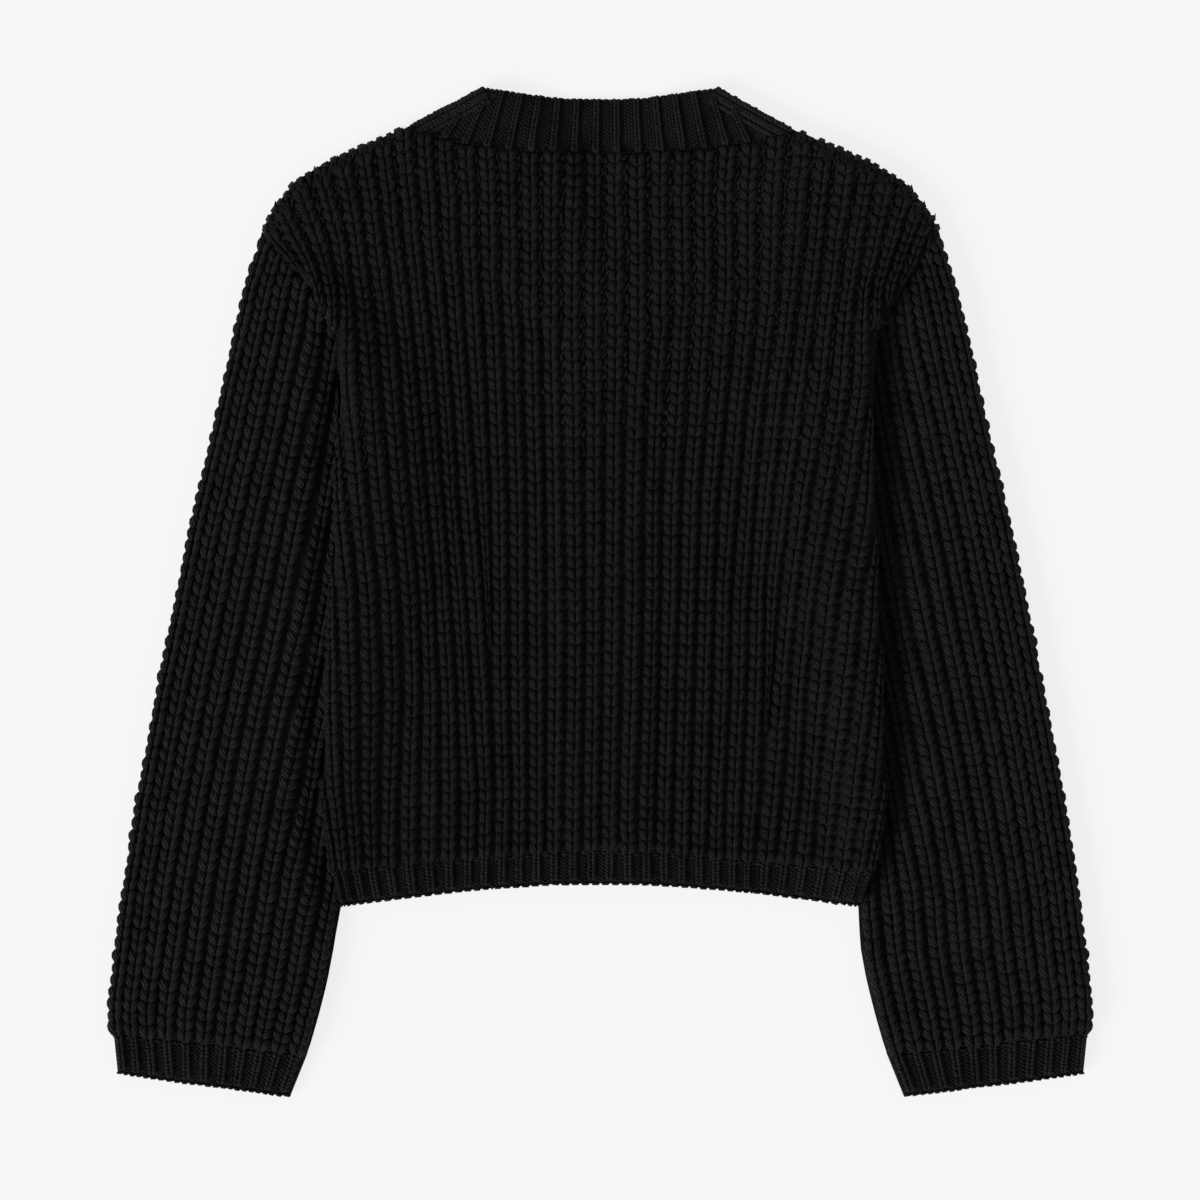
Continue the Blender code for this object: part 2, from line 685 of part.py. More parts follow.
def make_band(name, side, lowest):
    """A front band from the hem to the neck fold; lowest is its height where bands lap."""
    rows = band_rows()
    outer = []
    inner = []
    for number, (seam_y, free_y) in enumerate(rows):
        seam = (attached_x(seam_y) - 0.5 * SEAM_GAP, seam_y)
        free = (free_x(free_y), free_y)
        if number == len(rows) - 1:
            seam = NECK_EDGE[-1]
            free = NECK_EDGE[NECK_CORNER]
        upper = []
        lower = []
        for share in BAND_STEPS:
            x = seam[0] + share * (free[0] - seam[0])
            y = seam[1] + share * (free[1] - seam[1])
            if number == len(rows) - 1:
                length = share * math.dist(seam, free)
                x, y = along_line(tuple(reversed(NECK_EDGE[NECK_CORNER:])), length)
            base = lowest * band_raise(y)
            lower.append((side * x, y, base))
            upper.append((side * x, y, base + band_wall(y)))
        outer.append(upper)
        inner.append(lower)
    return wall(name, outer, BAND_STEPS, inner, BAND_STEPS, TRIM_COLOUR)


def disc(name, x, y, bottom, height, radius):
    """A round disc whose flat faces are level."""
    bm = bmesh.new()
    bmesh.ops.create_cone(bm, cap_ends=True, segments=BUTTON_SIDES, radius1=radius,
                          radius2=radius, depth=height)
    bmesh.ops.translate(bm, verts=bm.verts, vec=(x, y, bottom + 0.5 * height))
    return solid(name, bm, BUTTON_COLOUR, BUTTON_ROUGHNESS)


def button_heights():
    return [BUTTON_FIRST_Y + BUTTON_PITCH * number for number in range(BUTTON_COUNT)]


def make_buttons(under_band):
    """Buttons drawn into the under band, flush with it, each in a round dimple."""
    for number, y in enumerate(button_heights()):
        cutter = disc("dimple_%d" % (number + 1), 0.0, y, -1.0,
                      BUTTON_THICKNESS + BUTTON_CLEARANCE + 1.0, BUTTON_RADIUS + BUTTON_CLEARANCE)
        cutter.hide_render = True
        cutter.display_type = "WIRE"
        cut = under_band.modifiers.new("dimple_%d" % (number + 1), "BOOLEAN")
        cut.operation = "DIFFERENCE"
        cut.solver = "EXACT"
        cut.object = cutter
        disc("button_%d" % (number + 1), 0.0, y, 0.0, BUTTON_THICKNESS, BUTTON_RADIUS)


# ---------------------------------------------------------------- sleeves and cuffs

@functools.lru_cache(maxsize=None)
def sleeve_path(share, side):
    """Lowest and highest height of a sleeve's rib line."""
    low = curve(SLEEVE_END, share)
    high = find_height(lambda y: sleeve_x(share, y, side), lambda x: curve(ARMHOLE, x), 60.0, 250.0)
    return low + 0.5 * SEAM_GAP, high - 2.0 * SEAM_GAP


def press(x, y, side):
    """Height that the body leaves for the sleeve under it, and free height elsewhere."""
    corner_y = ARMHOLE_CORNER[1]
    if y > corner_y and abs(x) > ARMHOLE_CORNER[0]:
        return math.inf
    free = float(smooth((HEM_EDGE[-1][1] - y) / SLEEVE_FREE))
    return lift(x, y, side) - LIFT_GAP + free * LIFT


def trough(x, y):
    """How much lower a sleeve lies along the edge of the body than elsewhere."""
    outside = x - side_x(y)
    across = smooth(1.0 - outside / TROUGH_OUTSIDE) * smooth(1.0 + outside / TROUGH_INSIDE)
    low, low_full, high_full, high = TROUGH_HEIGHTS
    along = smooth((y - low) / (low_full - low)) * smooth((high - y) / (high - high_full))
    return TROUGH * float(across * along)


def tube_top(full, out_distance, in_distance, end_distance):
    """Height of a flattened tube's top with its edges and ends rounded."""
    middle = TOP_EDGE_SHARE * full
    drop = max(edge_drop(out_distance, FOLD_ROUND, full - middle),
               edge_drop(in_distance, FOLD_ROUND, full - middle),
               edge_drop(end_distance, SEAM_ROUND, SEAM_DIP))
    return full - drop


def tube_under(full, out_distance, in_distance):
    """Height of a flattened tube's underside, which is flat but for its rounded edges."""
    middle = UNDER_EDGE_SHARE * full
    return max(edge_drop(out_distance, FOLD_ROUND, middle),
               edge_drop(in_distance, FOLD_ROUND, middle))


def slot_height(base, level):
    """Height of the upper or lower face of the slot in a tube of a thickness."""
    half = SLOT_SHARE * base
    return SLOT_MIDDLE_SHARE * base + (half if level == "slot_top" else -half)


def inset(share, level):
    """Keeps the slot away from the tube's edges."""
    if level.startswith("slot"):
        return SLOT_INSET_SHARE + share * (1.0 - 2.0 * SLOT_INSET_SHARE)
    return share


def sleeve_point(share, row, relief, level, side):
    """A point on a sleeve; level is top, under, slot_top or slot_under."""
    share = inset(share, level)
    low, high = sleeve_path(share, side)
    y = low + row * (high - low)
    x = sleeve_x(share, y, side)
    width = abs(sleeve_x(0.0, y, side) - sleeve_x(1.0, y, side))
    out_distance = share * width
    in_distance = (1.0 - share) * width
    limit = press(x, y, side)
    sunk = trough(x, y)
    base = min(SLEEVE_BASE - sunk, limit)
    if level == "top":
        end = min(y - low, (high - y) * ARMHOLE_COSINE)
        full = SLEEVE_BASE - sunk + relief * RIB_RELIEF
        return side * x, y, min(tube_top(full, out_distance, in_distance, end), limit)
    if level == "under":
        return side * x, y, tube_under(base, out_distance, in_distance)
    return side * x, y, slot_height(base, level)


def cuff_point(share, row, relief, level, side):
    """A point on a cuff, whose row is 0 at its seam and 1 at its lower edge."""
    share = inset(share, level)
    seam_y = curve(SLEEVE_END, share) - 0.5 * SEAM_GAP
    seam_x = sleeve_x(share, seam_y, side) - (1.0 - share) * CUFF_STEP
    edge_x = curve(CUFF_EDGE, share, 0, 1) + share * INNER_SHIFT[side]
    edge_y = curve(CUFF_EDGE, share, 0, 2)
    x = seam_x + row * (edge_x - seam_x)
    y = seam_y + row * (edge_y - seam_y)
    out_distance = share * CUFF_WIDTH
    in_distance = (1.0 - share) * CUFF_WIDTH
    if level == "top":
        end = min(row, 1.0 - row) * (seam_y - edge_y)
        full = CUFF_BASE + relief * TRIM_RELIEF
        return side * x, y, tube_top(full, out_distance, in_distance, end)
    if level == "under":
        return side * x, y, tube_under(CUFF_BASE, out_distance, in_distance)
    return side * x, y, slot_height(CUFF_BASE, level)


def make_tube(name, rows, steps, point, side, colour):
    """A flattened tube with a rib or wale for each of its lines across the top."""
    lines = steps_with_relief(SLEEVE_RIBS, steps)
    shares = [curve(SLEEVE_RIB_STARTS, line) for line, _ in lines]
    lining = SLEEVE_LINING_STEPS
    top = [[point(share, row, relief, "top", side) for share, (_, relief) in zip(shares, lines)]
           for row in rows]
    under, slot_top, slot_under = [
        [[point(share, row, 0.0, level, side) for share in lining] for row in rows]
        for level in ("under", "slot_top", "slot_under")
    ]
    flat_tube(name, top, shares, under, slot_top, slot_under, lining, colour)


# ---------------------------------------------------------------- the cardigan

def clear_scene():
    for found in list(bpy.data.objects):
        bpy.data.objects.remove(found, do_unlink=True)


def main():
    clear_scene()
    make_back()
    make_back_hem()
    make_neckband()
    for word, side in (("left", -1), ("right", 1)):
        make_front("front_" + word, side)
        make_front_hem("hem_front_" + word, side)
        make_tube("sleeve_" + word, SLEEVE_ROWS, RIB_STEPS, sleeve_point, side, KNIT_COLOUR)
        make_tube("cuff_" + word, CUFF_ROWS, WALE_STEPS, cuff_point, side, TRIM_COLOUR)
    make_band("band_left", -1, BAND_STACK)
    under_band = make_band("band_right", 1, 0.0)
    make_buttons(under_band)


main()
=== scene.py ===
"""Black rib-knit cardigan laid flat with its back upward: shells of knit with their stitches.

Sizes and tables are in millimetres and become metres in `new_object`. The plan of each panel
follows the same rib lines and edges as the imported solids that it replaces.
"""
import json
import math

import bpy
import numpy as np
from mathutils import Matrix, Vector

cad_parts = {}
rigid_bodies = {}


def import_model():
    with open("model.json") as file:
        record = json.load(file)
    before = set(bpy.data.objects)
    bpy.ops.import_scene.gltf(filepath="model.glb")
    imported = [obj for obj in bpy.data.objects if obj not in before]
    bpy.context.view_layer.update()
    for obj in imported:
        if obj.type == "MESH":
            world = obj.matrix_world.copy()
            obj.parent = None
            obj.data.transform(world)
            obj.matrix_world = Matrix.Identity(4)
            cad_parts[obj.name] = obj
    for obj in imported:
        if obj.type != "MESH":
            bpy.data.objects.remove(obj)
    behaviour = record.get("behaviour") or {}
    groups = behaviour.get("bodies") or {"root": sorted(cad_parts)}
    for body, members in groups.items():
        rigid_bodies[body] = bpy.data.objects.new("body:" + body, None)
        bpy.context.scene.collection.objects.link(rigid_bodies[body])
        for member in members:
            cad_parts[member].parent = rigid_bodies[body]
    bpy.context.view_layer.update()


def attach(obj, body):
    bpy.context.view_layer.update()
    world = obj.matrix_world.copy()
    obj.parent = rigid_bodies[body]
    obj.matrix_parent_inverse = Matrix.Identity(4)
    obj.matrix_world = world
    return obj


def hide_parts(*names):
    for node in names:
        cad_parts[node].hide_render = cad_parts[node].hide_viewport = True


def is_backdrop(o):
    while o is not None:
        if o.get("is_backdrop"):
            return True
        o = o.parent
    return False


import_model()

MM = 0.001
RANDOM = np.random.default_rng(7)

# ---------------------------------------------------------------- sizes of the solids

SEAM_GAP = 0.4
FRONT_WALL = 4.5
LAYER_GAP = 1.3
LIFT = 12.5
LIFT_GAP = 1.3
LIFT_OUTSIDE = 48.0
LIFT_INSIDE = 38.0
# Where the body starts to lift over a sleeve's edge, over what width, and how near the
# armhole's corner that ends.
LIFT_START = 25.0
LIFT_RAMP = 60.0
LIFT_CORNER = 30.0
SLOPE_GAP = 1.4
BODY_RIBS = 17
SLEEVE_RIBS = 11
HEM_HEIGHT = 22.0
CUFF_HEIGHT = 27.0
CUFF_WIDTH = 125.0
NECK_HEIGHT = 37.0
BAND_HALF = 18.8
V_START = 164.0
V_BEND = 12.0
ATTACHED_SLOPE = 0.7605
FREE_SLOPE = 0.576
BAND_WALL = 3.2
BAND_WALL_AT_NECK = 4.4
BAND_STACK = 3.6
BAND_DROP = (200.0, 235.0)
OPENING_SAG = 36.0
OPENING_MARGIN = 8.0
# How far past the stacked bands the back stays raised, how much further for each millimetre
# up the V, and over what width it comes down.
STACK_REACH = 3.0
STACK_SPREAD = 0.8
STACK_RAMP = 16.0
BAND_WALL_RAMP = 40.0
# Cosines of the slant of edges, which turn distances across into distances square to them.
SLEEVE_COSINE = 0.98
OPENING_COSINE = 0.87
SHOULDER_COSINE = 0.85
ARMHOLE_COSINE = 0.7
FRONT_HEM_WALL = 4.0
BUTTON_COUNT = 5
BUTTON_RADIUS = 9.0
BUTTON_THICKNESS = 2.0
BUTTON_FIRST_Y = -150.0
BUTTON_PITCH = 70.0

# Rib lines of the two halves of the back: a row for each height, which comes first, and then
# the distance from the centre of each line from the second of RIB_NUMBERS to the last but one.
# Ribs fan out as they go up: some run off past the side, and one more starts midway.
RIB_NUMBERS = (0, 2, 4, 6, 7, 8, 9, 10, 11, 12, 13, 14, 15, 16, 17)
RIB_LINES = {
    -1: (
        (-204.3, 24.1, 48.2, 70.7, 71.5, 81.9, 93.1, 105.2, 117.4, 129.5, 141.6, 152.5, 161.7, 168.0),
        (-181.2, 24.0, 47.9, 70.5, 71.3, 81.8, 93.1, 106.4, 119.7, 132.9, 146.2, 157.1, 167.3, 174.2),
        (-131.0, 24.2, 47.9, 69.7, 70.7, 80.9, 92.8, 106.1, 119.3, 133.4, 146.8, 161.1, 171.5, 181.6),
        (-65.0, 23.5, 49.2, 72.3, 73.6, 85.4, 95.3, 106.5, 118.5, 131.8, 145.3, 160.3, 173.0, 184.5),
        (1.0, 24.2, 49.9, 73.5, 78.1, 89.9, 99.8, 111.0, 121.6, 134.3, 147.7, 161.5, 175.0, 188.0),
        (67.0, 26.2, 51.2, 74.8, 84.0, 95.7, 106.2, 116.7, 128.0, 140.0, 154.1, 168.5, 180.5, 192.0),
        (133.0, 27.1, 53.4, 77.0, 88.7, 99.9, 110.3, 122.2, 133.4, 146.0, 160.0, 173.5, 184.0, 192.0),
        (166.0, 28.5, 53.4, 79.0, 90.8, 101.9, 113.0, 124.8, 136.0, 149.3, 163.0, 173.8, 180.0, 186.0),
        (199.0, 28.5, 55.5, 81.0, 92.8, 104.6, 116.3, 127.5, 139.3, 152.5, 165.8, 176.0, 185.1, 192.5),
        (232.0, 28.7, 55.6, 82.5, 95.5, 107.9, 119.6, 132.0, 143.7, 156.0, 167.7, 179.4, 193.7, 208.1),
        (259.7, 28.0, 56.0, 82.5, 95.5, 108.5, 121.5, 134.0, 146.5, 159.4, 173.0, 188.0, 205.0, 222.0),
        (292.7, 28.2, 56.6, 84.5, 98.0, 111.5, 124.5, 138.0, 151.5, 165.0, 182.2, 200.0, 221.0, 242.0),
    ),
    1: (
        (-204.3, 24.1, 48.2, 70.7, 81.5, 92.0, 100.0, 101.0, 113.0, 124.0, 136.0, 148.5, 159.5, 167.0),
        (-181.2, 24.0, 47.9, 70.5, 81.5, 92.0, 101.0, 102.0, 115.0, 126.5, 140.0, 153.0, 166.0, 174.2),
        (-131.0, 24.0, 47.8, 71.5, 82.1, 93.4, 105.3, 106.3, 120.5, 132.4, 144.3, 158.9, 172.8, 182.7),
        (-65.0, 25.3, 49.1, 72.9, 84.9, 95.5, 107.4, 111.4, 124.7, 136.0, 150.6, 166.5, 178.2, 186.0),
        (1.0, 26.0, 50.5, 73.7, 85.0, 96.9, 107.6, 117.6, 130.2, 141.6, 156.8, 171.5, 182.5, 190.0),
        (67.0, 25.2, 51.1, 76.3, 89.6, 101.6, 113.7, 125.0, 137.7, 151.7, 167.0, 181.5, 190.0, 194.0),
        (133.0, 27.0, 55.5, 82.1, 95.4, 108.1, 121.4, 134.7, 148.7, 162.6, 174.0, 184.0, 190.0, 194.0),
        (166.0, 29.6, 56.8, 84.7, 99.3, 112.6, 126.0, 138.6, 151.9, 165.0, 174.5, 181.0, 185.0, 189.0),
        (199.0, 29.5, 58.7, 87.3, 101.9, 115.9, 129.2, 142.5, 155.8, 167.7, 177.0, 184.5, 191.5, 198.0),
        (232.0, 29.4, 58.6, 87.1, 102.5, 117.8, 133.1, 145.9, 159.3, 173.3, 184.8, 195.5, 205.0, 213.8),
        (259.7, 28.8, 57.8, 86.5, 102.0, 118.5, 135.5, 148.5, 165.0, 177.0, 191.5, 204.5, 217.0, 229.0),
        (292.7, 29.5, 59.0, 88.5, 105.0, 121.5, 139.0, 153.0, 170.0, 184.0, 201.0, 217.0, 232.0, 248.0),
    ),
}
# Distance of the body's side, the last rib line, from its centre at a height, and of the
# lines hidden there from each other.
BODY_SIDE = (
    (-204.3, 170.9), (-181.2, 178.9), (-136.3, 185.8), (-57.1, 183.5), (35.3, 179.8),
    (127.7, 176.2), (160.7, 177.4), (170.6, 177.6), (193.7, 190.1), (215.5, 206.3),
    (236.0, 223.1), (259.7, 240.0), (292.7, 264.0),
)
HIDDEN_PITCH = 0.35
# Ribs narrower than this have no stitches.
NARROW = 2.6
# Half the width of a rib, just inside its lines.
HALF_RIB = 0.499
# Height, and how far the left edge, the middle and the right edge of the back lean to the
# right there. The ribs beside an edge lean with it by a power of their place.
RIB_LEAN = (
    (-205.6, 0.0, 0.0, 0.0), (-170.0, 3.0, 0.0, 0.0), (-136.0, 3.8, 0.4, 0.0),
    (22.0, 6.0, 2.0, 1.0), (75.0, 6.2, 2.6, 1.8), (121.0, 6.3, 2.7, 2.5), (190.0, 5.5, 2.8, 4.0),
    (215.0, 4.0, 2.9, 3.0), (236.0, 0.0, 3.0, 0.0), (265.0, 0.0, 3.0, 0.0),
)
EDGE_POWER = 6
# How much lower the right shoulder lies than the left.
SHOULDER_SAG = 1.6
# Where that starts and over what width: inside, outside and up the back.
SAG_INSIDE = (60.0, 60.0)
SAG_OUTSIDE = (200.0, 25.0)
SAG_UP = (200.0, 60.0)
NECK_POINT = (130.7, 306.6)
SHOULDER_POINT = (223.1, 236.0)
BODY_TOP = (
    (0.0, 289.4), (39.6, 290.1), (66.0, 291.4), (99.0, 297.3), (112.2, 301.3),
    NECK_POINT, (140.6, 301.9), (153.5, 296.7), (177.2, 286.1), (195.4, 275.6),
    (202.6, 270.3), (210.9, 259.7), (216.8, 251.8), (220.8, 243.9), SHOULDER_POINT,
)
HEM_SEAM = (
    (0.0, -169.3), (33.0, -170.6), (66.0, -173.2), (99.0, -176.6), (132.0, -179.2),
    (165.0, -181.8), (178.9, -183.2),
)
HEM_EDGE = (
    (0.0, -191.1), (26.4, -191.4), (52.8, -193.1), (79.2, -195.0), (105.6, -197.7),
    (132.0, -201.0), (158.4, -204.3), (170.9, -205.6),
)
NECK_EDGE = (
    (0.0, 326.4), (26.4, 327.0), (52.8, 329.7), (66.0, 331.7), (78.9, 333.6),
    (88.1, 328.4), (104.0, 317.8), (128.5, 307.6),
)
NECK_CORNER = 4
NECK_MIDDLE = 4.0
# How far inside the neck point the neckband's seam ends.
NECK_INSET = 0.5
NECK_WALE = 14.4
NECK_FAN = (
    (0.0, 0.0, 0.0), (1.5, 19.5, 19.5), (3.5, 45.2, 45.2), (5.5, 69.0, 69.0),
    (6.5, 78.2, 78.2), (7.5, 87.0, 95.7), (8.5, 112.0, 121.0), (9.3, 138.0, 129.0),
)
NECK_WALES = {-1: 9.2, 1: 8.7}
SLEEVE_OUTER = (
    (236.0, 223.7), (222.8, 227.7), (200.3, 235.0), (160.7, 244.2), (101.3, 257.4),
    (41.9, 271.3), (-17.5, 283.5), (-76.9, 295.0), (-136.3, 305.9), (-195.7, 315.2),
    (-235.3, 320.1), (-261.7, 323.4), (-278.2, 324.4), (-290.1, 322.7),
)
SLEEVE_INNER = (
    (170.6, 99.0), (101.3, 110.9), (-17.5, 132.0), (-96.7, 150.5), (-182.5, 167.6),
    (-205.6, 170.9), (-235.3, 174.2), (-255.1, 177.9), (-274.9, 182.8), (-294.7, 188.4),
    (-304.6, 191.7),
)
INNER_SHIFT = {-1: 2.3, 1: -2.3}
INNER_SHIFT_HEIGHTS = (-190.0, -240.0)
ARMHOLE = (
    (98.0, 88.0), (110.9, 101.3), (177.6, 170.6), (190.1, 193.7), (206.3, 215.5),
    SHOULDER_POINT,
)
ARMHOLE_CORNER = (177.6, 170.6)
# Height from which the armhole leans with the body's edge.
ARMHOLE_LEAN = 170.0
# Share of the width of a sleeve or cuff at which each rib starts, from its outer edge.
SLEEVE_RIB_STARTS = (
    (0, 0.0), (1, 0.068), (2, 0.142), (3, 0.227), (4, 0.322), (5, 0.417), (6, 0.516),
    (7, 0.615), (8, 0.709), (9, 0.804), (10, 0.896), (11, 1.0),
)
# Trough of a sleeve along the body's edge: its depth, and its reach on each side of it.
TROUGH = 6.4
TROUGH_OUTSIDE = {-1: 26.0, 1: 33.0}
TROUGH_FLAT = {-1: 8.0, 1: 1.5}
TROUGH_INSIDE = 22.0
TROUGH_HEIGHTS = (-235.0, -200.0, 150.0, 190.0)
SLEEVE_END = ((0.0, -290.1), (1.0, -304.6))
CUFF_EDGE = (
    (0.0, 319.0, -316.4), (0.27, 283.5, -321.7), (0.55, 250.8, -325.7),
    (0.92, 211.2, -331.0), (1.0, 202.5, -331.7),
)
# Heights between which the lower and upper ends of ribs are looked for, by halving.
HEM_HEIGHTS = (-215.0, -150.0)
TOP_HEIGHTS = (200.0, 320.0)
ARMHOLE_HEIGHTS = (60.0, 250.0)
HALVINGS = 40
FINE_SHARES = np.linspace(0.0, 1.0, 97)
MIDDLE_Y = 0.5 * (NECK_EDGE[NECK_CORNER][1] + CUFF_EDGE[-1][2])

# ---------------------------------------------------------------- sizes of the stitches

BODY_STITCHES = 64
SLEEVE_STITCHES = 66
RIB_WIDTH = 12.0
STITCH_LENGTH = 7.2
SHELL = 2.9
# What is left of a shell at its rounded sides.
THINNEST = 0.6
STITCH_FLOOR = 0.12
# Heights of the cloth between ribs: tops of sleeve, cuff, hem and neckband, middles of the
# slots in the tubes, and undersides.
SLEEVE_BASE = 8.4
CUFF_BASE = 7.2
HEM_BASE = 2.4
NECK_BASE = 2.6
SLEEVE_MIDDLE = 4.4
CUFF_MIDDLE = 3.6
UNDER_BASE = 2.3
CUFF_UNDER = 1.3
LOWEST_TOP = 2.0
# Length below the body's hem over which a sleeve comes free, and a height above them all.
FREE_RAMP = 30.0
NO_LIMIT = 99.0
# Width of the rounded folds of the sleeves and the neckband, and of the cuffs, and how much
# further in the cuffs start at their outer folds.
FOLD_ROUND = 6.0
CUFF_FOLD = 5.0
CUFF_INSET = 1.0
# How the sides of the back turn down: over this width, by this much, and less by the armholes.
SIDE_ROUND = 11.0
SIDE_TURN = 7.0
ARMHOLE_START = 150.0
ARMHOLE_RAMP = 40.0
ARMHOLE_DEPTH = 1.9
# Width beside the neck point over which the neck's edge becomes the shoulder's.
NECK_BLEND = 12.0
# Other rounded edges: over this width, by this much.
BACK_NECK_ROUND = (3.0, 0.5)
BACK_HEM_ROUND = (3.0, 0.8)
SHOULDER_ROUND = (9.0, SHELL - 1.0)
FRONT_ROUND = (3.5, 1.2)
HEM_SEAM_ROUND = (2.5, 0.8)
HEM_FREE_ROUND = (3.0, 1.6)
HEM_SIDE_ROUND = 5.0
SLEEVE_END_ROUND = (3.0, 1.0)
CUFF_END_ROUND = (3.0, 1.2)
NECK_SEAM_ROUND = (2.5, 0.9)
NECK_TOP_ROUND = (3.0, 1.4)
# How much a stitch leans more or less than the next, as a share of its length.
TILT = 0.03

# Centre line of one leg of a stitch, from its lower tip: across, along, height, then the
# half width and half thickness of the yarn there. The first and last rows are its ends.
LEG = (
    (0.65, -0.9, 1.0, 0.0, 0.0),
    (1.15, 0.5, 3.0, 1.05, 1.0),
    (2.10, 2.5, 3.5, 1.90, 1.4),
    (2.75, 4.7, 3.3, 2.2, 1.55),
    (2.75, 6.9, 2.4, 1.9, 1.45),
    (2.30, 9.3, 0.6, 0.0, 0.0),
)
# A leg that runs along the edge of the cloth.
EDGE_LEG = (
    (1.6, -1.6, 1.4, 0.0, 0.0),
    (2.0, 0.5, 3.0, 1.15, 1.1),
    (2.4, 2.8, 3.5, 1.75, 1.4),
    (2.6, 5.2, 3.3, 1.85, 1.4),
    (2.4, 7.4, 2.6, 1.4, 1.2),
    (2.1, 9.6, 1.4, 0.0, 0.0),
)
# A plainer leg for the side that lies on the floor.
UNDER_LEG = (
    (0.65, -0.9, 0.6, 0.0, 0.0),
    (1.60, 1.6, 2.6, 1.4, 1.2),
    (2.70, 4.9, 2.3, 2.0, 1.4),
    (1.90, 8.8, 0.0, 0.0, 0.0),
)
# The thinner second strand that shows inside each V.
TUCK = (
    (0.15, 2.6, 1.4, 0.0, 0.0),
    (0.45, 4.4, 2.7, 0.45, 0.5),
    (0.95, 6.2, 2.5, 0.5, 0.5),
    (1.60, 8.2, 1.2, 0.0, 0.0),
)
# The bump that the knit makes at the bottom of the valley between two ribs.
PURL = (
    (-2.4, 1.6, -0.5, 0.0, 0.0),
    (-0.8, 0.1, 0.0, 1.0, 0.6),
    (0.8, 0.1, 0.0, 1.0, 0.6),
    (2.4, 1.6, -0.5, 0.0, 0.0),
)
# A loose strand that fills the cloth where ribs spread apart at the shoulders.
LOOP = (
    (-0.6, -3.2, 0.0, 0.0, 0.0),
    (-0.7, -1.2, 1.9, 0.95, 0.9),
    (0.2, 1.2, 2.2, 1.10, 1.0),
    (0.9, 3.4, 0.2, 0.0, 0.0),
)
# A bump of the edge of the shoulders: along the edge, in from it, and height.
SHOULDER_BUMP = (
    (-3.8, 1.2, 0.2, 0.0, 0.0),
    (-1.6, 0.2, 2.0, 1.6, 1.5),
    (1.6, 0.2, 2.0, 1.6, 1.5),
    (3.8, 1.2, 0.2, 0.0, 0.0),
)
# A bump of the cast-off edge or the seam of a trim.
EDGE_BUMP = (
    (-2.9, 0.5, 0.1, 0.0, 0.0),
    (-1.6, -0.2, 0.9, 0.85, 0.8),
    (1.6, -0.2, 0.9, 0.85, 0.8),
    (2.9, 0.5, 0.1, 0.0, 0.0),
)
# The finer stitches of hem, cuffs, neckband and front bands.
TRIM_ROW = 2.5
TRIM_LEG = (
    (0.30, -0.5, 0.8, 0.0, 0.0),
    (0.70, 0.4, 1.75, 0.65, 0.6),
    (1.25, 1.7, 2.0, 1.1, 0.85),
    (1.45, 2.9, 1.4, 0.9, 0.7),
    (1.20, 3.8, 0.3, 0.0, 0.0),
)
TRIM_UNDER_LEG = (
    (0.30, -0.5, 0.3, 0.0, 0.0),
    (1.30, 1.6, 1.1, 1.1, 0.7),
    (1.25, 3.8, 0.0, 0.0, 0.0),
)
TRIM_PURL = (
    (-1.35, -0.55, -0.3, 0.0, 0.0),
    (-0.50, 0.25, 0.45, 0.75, 0.55),
    (0.50, 0.25, 0.45, 0.75, 0.55),
    (1.35, -0.55, -0.3, 0.0, 0.0),
)
TRIM_UNDER_PURL = (
    (-1.2, -0.2, -0.2, 0.0, 0.0),
    (0.0, 0.1, 0.4, 0.6, 0.45),
    (1.2, -0.2, -0.2, 0.0, 0.0),
)
# Larger leg at the foot of each neckband wale, where it is picked up along the seam.
FOOT = (
    (0.10, -1.2, 0.4, 0.0, 0.0),
    (0.60, 0.2, 1.9, 0.9, 0.8),
    (1.25, 2.2, 2.3, 1.35, 1.0),
    (1.45, 4.4, 1.9, 1.05, 0.8),
    (1.30, 6.4, 0.6, 0.0, 0.0),
)
ROUND = (90, 45, 0, -90, 180, 135)
FIVE = (90, 18, -54, -126, 162)
SQUARE = (90, 0, -90, 180)


def smooth(value):
    """Smooth step from 0 to 1."""
    t = np.clip(value, 0.0, 1.0)
    return t * t * (3.0 - 2.0 * t)


def curve(table, value, key=0, result=1):
    """Reads a table of rows at values of its key column."""
    rows = np.array(sorted(table, key=lambda row: row[key]))
    return np.interp(value, rows[:, key], rows[:, result])


def edge_drop(distance, radius, depth):
    """How far a rounded edge has dropped at a distance inside it."""
    t = np.clip(distance / radius, 0.0, 1.0)
    return depth * (1.0 - np.sqrt(1.0 - (1.0 - t) ** 2))


def folds_drop(share, width, radius, depth):
    """The same for both edges of a flattened tube, at a share of its width."""
    return np.maximum(edge_drop(share * width, radius, depth),
                      edge_drop((1.0 - share) * width, radius, depth))


# ---------------------------------------------------------------- plan of the panels

def rib_x(line, height):
    """Distance from the centre of a rib line at a height. Lines of the left half are below 0."""
    line, height = np.broadcast_arrays(np.asarray(line, float), np.asarray(height, float))
    edge = curve(BODY_SIDE, height)
    numbers = np.array(RIB_NUMBERS, float)
    out = np.abs(line)
    k = np.clip(np.searchsorted(numbers, out, side="right") - 1, 0, len(numbers) - 2)
    part = (out - numbers[k]) / (numbers[k + 1] - numbers[k])
    found = {}
    for side, table in RIB_LINES.items():
        columns = [np.zeros(line.shape)]
        for column, number in enumerate(RIB_NUMBERS[1:-1], 1):
            place = curve(table, height, 0, column)
            columns.append(np.minimum(place, edge - HIDDEN_PITCH * (BODY_RIBS - number)))
        columns = np.stack(columns + [edge])
        low = np.take_along_axis(columns, k[None], 0)[0]
        high = np.take_along_axis(columns, k[None] + 1, 0)[0]
        found[side] = low + part * (high - low)
    return np.where(line < 0.0, found[-1], found[1])


